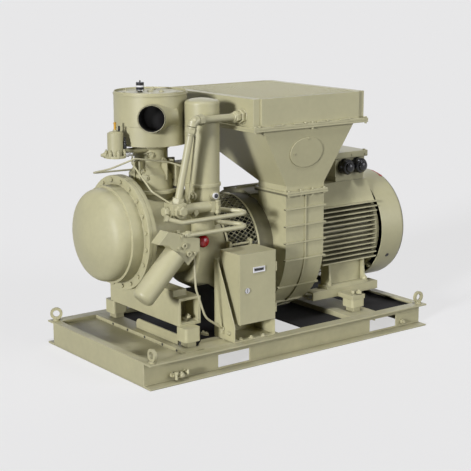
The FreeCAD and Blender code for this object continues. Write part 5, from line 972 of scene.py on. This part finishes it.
# %% Spout bend
SPOUT_SKIN = 77
BEND_RADIUS = 0.195
BEND_TURN = math.radians(50)
SPOUT_ONWARD = 0.030
bend_right = Vector((SPOUT_WAY.y, -SPOUT_WAY.x, 0))
bend_centre = SPOUT + bend_right * BEND_RADIUS
spout_bend = turned("spout_bend", [(SPOUT_SKIN, 0)], 64)
spout_bend.data.transform(aimed(SPOUT - SPOUT_WAY * 0.002, SPOUT_WAY))
edit_all(spout_bend)
bpy.ops.mesh.delete(type="ONLY_FACE")
bpy.ops.mesh.select_all(action="SELECT")
bpy.ops.mesh.spin(steps=12, angle=BEND_TURN, center=bend_centre, axis=(0, 0, 1))
onward = Matrix.Rotation(-BEND_TURN, 3, "Z") @ SPOUT_WAY
bpy.ops.mesh.extrude_region_move(TRANSFORM_OT_translate={"value": onward * SPOUT_ONWARD})
close_up(MERGE_REACH)
apply_modifier(spout_bend, "wall", "SOLIDIFY", thickness=0.003, offset=-1)
complete(spout_bend, sheet_paint, "air_filter_drum", edge=0)


def in_bend(centre, normal):
    outward = centre - bend_centre
    outward.z = 0
    return (bend_centre + outward.normalized() * BEND_RADIUS - centre).dot(normal) > 0


# Black on the inner faces of the bend paints the shade inside it.
second_finish(spout_bend, black_paint, in_bend)

# %% [markdown]
# Castings carry plugs, bosses and ribs where cores were drawn and pipes are tapped. The intake
# has a collar under the drum, bosses with hexagon bolts, five stiffening ribs and a cast valve
# housing at its right.

# %% Intake bosses
INTAKE = Vector((DRUM_X, 0, 0))
band("intake_collar", (93, 26, 12), spot(DRUM_X, 0, 1201), Z, cast_paint, "intake_housing", 3, 2)
boss_parts = [(24, [(18, -8), (17, 6), (14, 8)]), (6, [(10.5, 7), (10.5, 15), (9, 16)])]
boss_seats = [seat_round(INTAKE, 126, -9, 1047), seat_round(INTAKE, 112, -22, 1080),
              seat_round(INTAKE, 95, -12, 1166), seat_round(INTAKE, 95, 6, 1168),
              seat_round(INTAKE, 95, 52, 1136)]
scatter("intake_bosses", boss_parts, boss_seats, cast_paint, "intake_housing")
intake_rib = block("intake_rib", (-6, -136, 1030), (6, -60, 1140), 3)
ribs = repeat(intake_rib, "intake_ribs",
              [Matrix.Translation(spot(*INTAKE)) @ Matrix.Rotation(math.radians(angle), 4, "Z")
               @ Matrix.Translation((-SKID_MIDDLE, 0, 0)) for angle in (-78, -62, 8, 34, 70)])
complete(ribs, cast_paint, "intake_housing", edge=0)
housing = recess(block("valve_housing", (-562, -128, 984), (-446, -22, 1118), 9), FRONT, 20, 4)
complete(housing, cast_paint, "intake_housing", edge=0)

# %% [markdown]
# The oil filter head, the thermostat block and the canister head are drilled through and closed
# with plugs. Hexagon plugs, socket plugs and bolts take the places that the photograph shows,
# and a small relief valve stands on the canister head.

# %% Head and block plugs
fitting("lower_union", [(20, [(16, -8), (16, 4)]), (6, [(19, 3), (21, 5), (21, 24), (18, 27)]),
                        (20, [(16, 26), (16, 38)])], spot(-712, -432, 783), X, pipe_paint, "oil_pipes")
scatter("oil_head_plugs", socket_parts(16, 10),
        [((-725, -439.5, 725), FRONT), ((-696, -439.5, 677), FRONT)], cast_paint, "oil_filter_head")
scatter("oil_head_bolts", hex_parts(15, 9),
        [((-658, -439.5, 676), FRONT), ((-763, -439.5, 717), FRONT), ((-743, -439.5, 779), FRONT)],
        cast_paint, "oil_filter_head")
scatter("block_plugs", hex_parts(46, 20), [((-712, -405, 905), FRONT), ((-775, -346, 902), LEFT)],
        cast_paint, "thermostat_block")
scatter("canister_plugs", [(20, [(26, -8), (26, 10), (22, 13)]), (6, [(17, 12), (17, 26), (15, 28)])],
        [((-553, -281, 955), Vector((-0.93, -0.36, 0))), ((-600, -352, 880), FRONT)],
        cast_paint, "canister_head")
fitting("head_valve", [(20, [(13, 0), (13, 16), (10, 18), (10, 26)]), (6, [(15, 25), (15, 42), (13, 44)]),
                       (20, [(10, 43), (10, 62), (13, 64), (13, 72)])],
        spot(-456, -374, 862), Z, cast_paint, "canister_head")
sight_glass = stand(turned("sight_glass", [(12.5, 0), (12.5, 1.6), (11, 2.6), (4, 3)], 32),
                    spot(-456, -363.6, 956), FRONT)
complete(sight_glass, dark_screen, "sight_ring", edge=0)

# %% [markdown]
# The duct, the terminal box and the cable glands have their own small hardware: two screws on
# the inspection cover, screws on the terminal lid, and domed blanking plugs in the glands, which
# are smooth and glossy.

# %% Duct and terminal hardware
COVER_WAY = Vector((0, -0.99, -0.13))
scatter("cover_screws", socket_parts(6, 4), [((46, -431, 1149), COVER_WAY), ((138, -442, 1233), COVER_WAY)],
        cast_paint, "duct_cover")
scatter("lid_screws", socket_parts(9, 6), [((x, y, 1083), Z) for x in (562, 796) for y in (-198, 198)],
        cast_paint, "terminal_box_lid")
scatter("lid_side_clips", hex_parts(13, 5), [((680, -215, 1066), FRONT), ((790, -215, 1062), FRONT)],
        cast_paint, "terminal_box_lid")
dome = turned("gland_plug", [(30, -6), (33, 0), (33, 3), (30.5, 9), (25, 14), (16, 18), (4, 19.5)], 40)
plugs = repeat(dome, "gland_plugs", [aimed(spot(x, -257, 996), FRONT) for x in (629, 733)])
complete(plugs, black_plastic, "cable_glands", edge=0)
scatter("cooler_flange_bolts", hex_parts(16, 8),
        [((x, -452, 1322), Z) for x in (-225, -60, 105, 270, 435, 556)], cast_paint, "cooler_frame")
CLIP_LENGTH = 66
flange_clips = [block("flange_clip", (x, -461, 1321), (x + CLIP_LENGTH, -443, 1327), 1.5)
                for x in (-130, 20, 190, 360)]
complete(joined(flange_clips, "flange_clips"), sheet_paint, "cooler_frame", edge=0)

# %% [markdown]
# A black disc behind the grille of the motor's fan cowl paints the dark inside of the cowl, and
# its rim carries a red arrow for the direction of turning, made of one short tile repeated round the rim.

# %% Cowl shade disc and arrow
COWL_RADIUS, COWL_END = 339, 1033
shade_disc = stand(turned("cowl_shade_disc", [(333, 0), (333, 1.5), (300, 2), (40, 2)], 96),
              spot(COWL_END - 14, 0, SHAFT_Z), X)
complete(shade_disc, black_paint, "motor_fan_cowl", edge=0)
ARROW_X = 1002
ARROW_START, ARROW_TILES, ARROW_STEP = 10, 7, 1.8


def round_cowl(lean):
    return Matrix.Translation(spot(ARROW_X, 0, SHAFT_Z)) @ Matrix.Rotation(math.radians(lean), 4, "X")


tile = block("arrow_tile", (-4, -5.5, COWL_RADIUS - 0.4), (4, 5.5, COWL_RADIUS + 0.8), 0.3)
tile.data.transform(Matrix.Translation((-SKID_MIDDLE, 0, 0)))
arrow_line = repeat(tile, "turning_arrow", [round_cowl(ARROW_START + step * ARROW_STEP)
                                            for step in range(ARROW_TILES)])
complete(arrow_line, red_plastic, "motor_fan_cowl", edge=0)
arrow_head = turned("arrow_head", [(15, -0.4), (15, 0.8), (13.5, 1.0)], 3)
arrow_head.data.transform(round_cowl(ARROW_START + ARROW_TILES * ARROW_STEP + 1)
                          @ Matrix.Translation((0, 0, COWL_RADIUS / 1000))
                          @ Matrix.Rotation(math.radians(180), 4, "Z"))
complete(arrow_head, red_plastic, "motor_fan_cowl", edge=0)
fitting("cowl_eyelet", [(20, [(13, -1), (13, 2), (11, 3.5), (8, 3.5), (7, 1)])],
        spot(918, -297, 420), (0, -0.87, -0.49), black_paint, "motor_fan_cowl")

# %% [markdown]
# Under the fins, cast webs fill the motor's feet between their ribs, and nuts hold the feet to
# the rails and the rails to their mounts.

# %% Motor feet
WEB_LEFT, WEB_RIGHT = 456, 716
webs = [recess(block("foot_web", (WEB_LEFT, side * 262 - 8, 292), (WEB_RIGHT, side * 262 + 8, 436), 2),
               Y * side, 14, 4) for side in (-1, 1)]
complete(joined(webs, "foot_webs"), cast_paint, "motor_frame", edge=0)
scatter("foot_nuts", nut_parts(30, 18), [((x, y, 292), Z) for x in (440, 732) for y in (-295, 295)],
        cast_paint, "motor_rails")
scatter("mount_nuts", nut_parts(30, 16), [((575, y, 250), Z) for y in (-418, 418)],
        cast_paint, "machine_mounts")

# %% [markdown]
# The skid's left bay is closed by a deck plate between the end beam and the first cross member,
# with a low rim that keeps oil from running off. The bays under the air end, the fan and the
# motor's end lie in deep shade, and near-black sheets are laid there to paint that shade. Taps,
# nuts and plugs finish the frame.

# %% Skid trim
BAY_HALF = 474
DECK_BAY = (-1015, -742)
SHADE_TRAY_BAYS = ((-626, -118), (142, 448), (662, 1012))
deck = recess(block("deck_plate", (DECK_BAY[0], -BAY_HALF, 110), (DECK_BAY[1], BAY_HALF, 120), 1.5),
              Z, 14, 2)
complete(deck, frame_paint, "skid_ends", edge=0)
# Near-black sheets in three bays paint the deep shade under the machine.
shade_tray_list = [recess(block("painted_shade_tray", (left, -BAY_HALF, 103), (right, BAY_HALF, 112), 1.5), Z, 14, 3)
         for left, right in SHADE_TRAY_BAYS]
painted_shade_black = finish("painted_shade_black", (0.010, 0.009, 0.008), 0.90, uneven=0.30, grains=120, depth=0.10)
complete(joined(shade_tray_list, "painted_shade_trays"), painted_shade_black, "cross_members", edge=0)
plug_parts = [(16, [(7, -1), (7, 2), (5.5, 3), (3.5, 3), (3, 1)])]
scatter("frame_plugs", plug_parts,
        [((-740, y, 130), LEFT) for y in (278, 120, -60, -240, -380)],
        black_paint, "cross_members")
tap_parts = [(6, [(15, 0), (15, 8), (13, 10)]), (20, [(10, 9), (10, 14)]),
             (6, [(19, 13), (19, 26), (16, 29)]), (20, [(12, 28), (12, 38), (9, 41)])]
fitting("drain_tap", tap_parts, spot(-812, -506, 44), FRONT, pipe_paint, "drain_fittings")
fitting("drain_elbow", [(20, [(8, 0), (8, 30)]), (6, [(12, 29), (12, 40), (10, 42)])],
        spot(-846, -532, 24), Z, pipe_paint, "drain_fittings")
fitting("drain_knob", [(8, [(7, 0), (7, 12)]), (16, [(16, 11), (18, 14), (18, 22), (14, 26)])],
        spot(-782, -516, 50), TO_RIGHT, pipe_paint, "drain_fittings")
scatter("gusset_nuts", nut_parts(26, 14), [((-466, -250, 140), Z), ((-627, -330, 286), Z)],
        cast_paint, "vessel_saddle")

# %% [markdown]
# The last cell only imports json again.

# %% End
import json
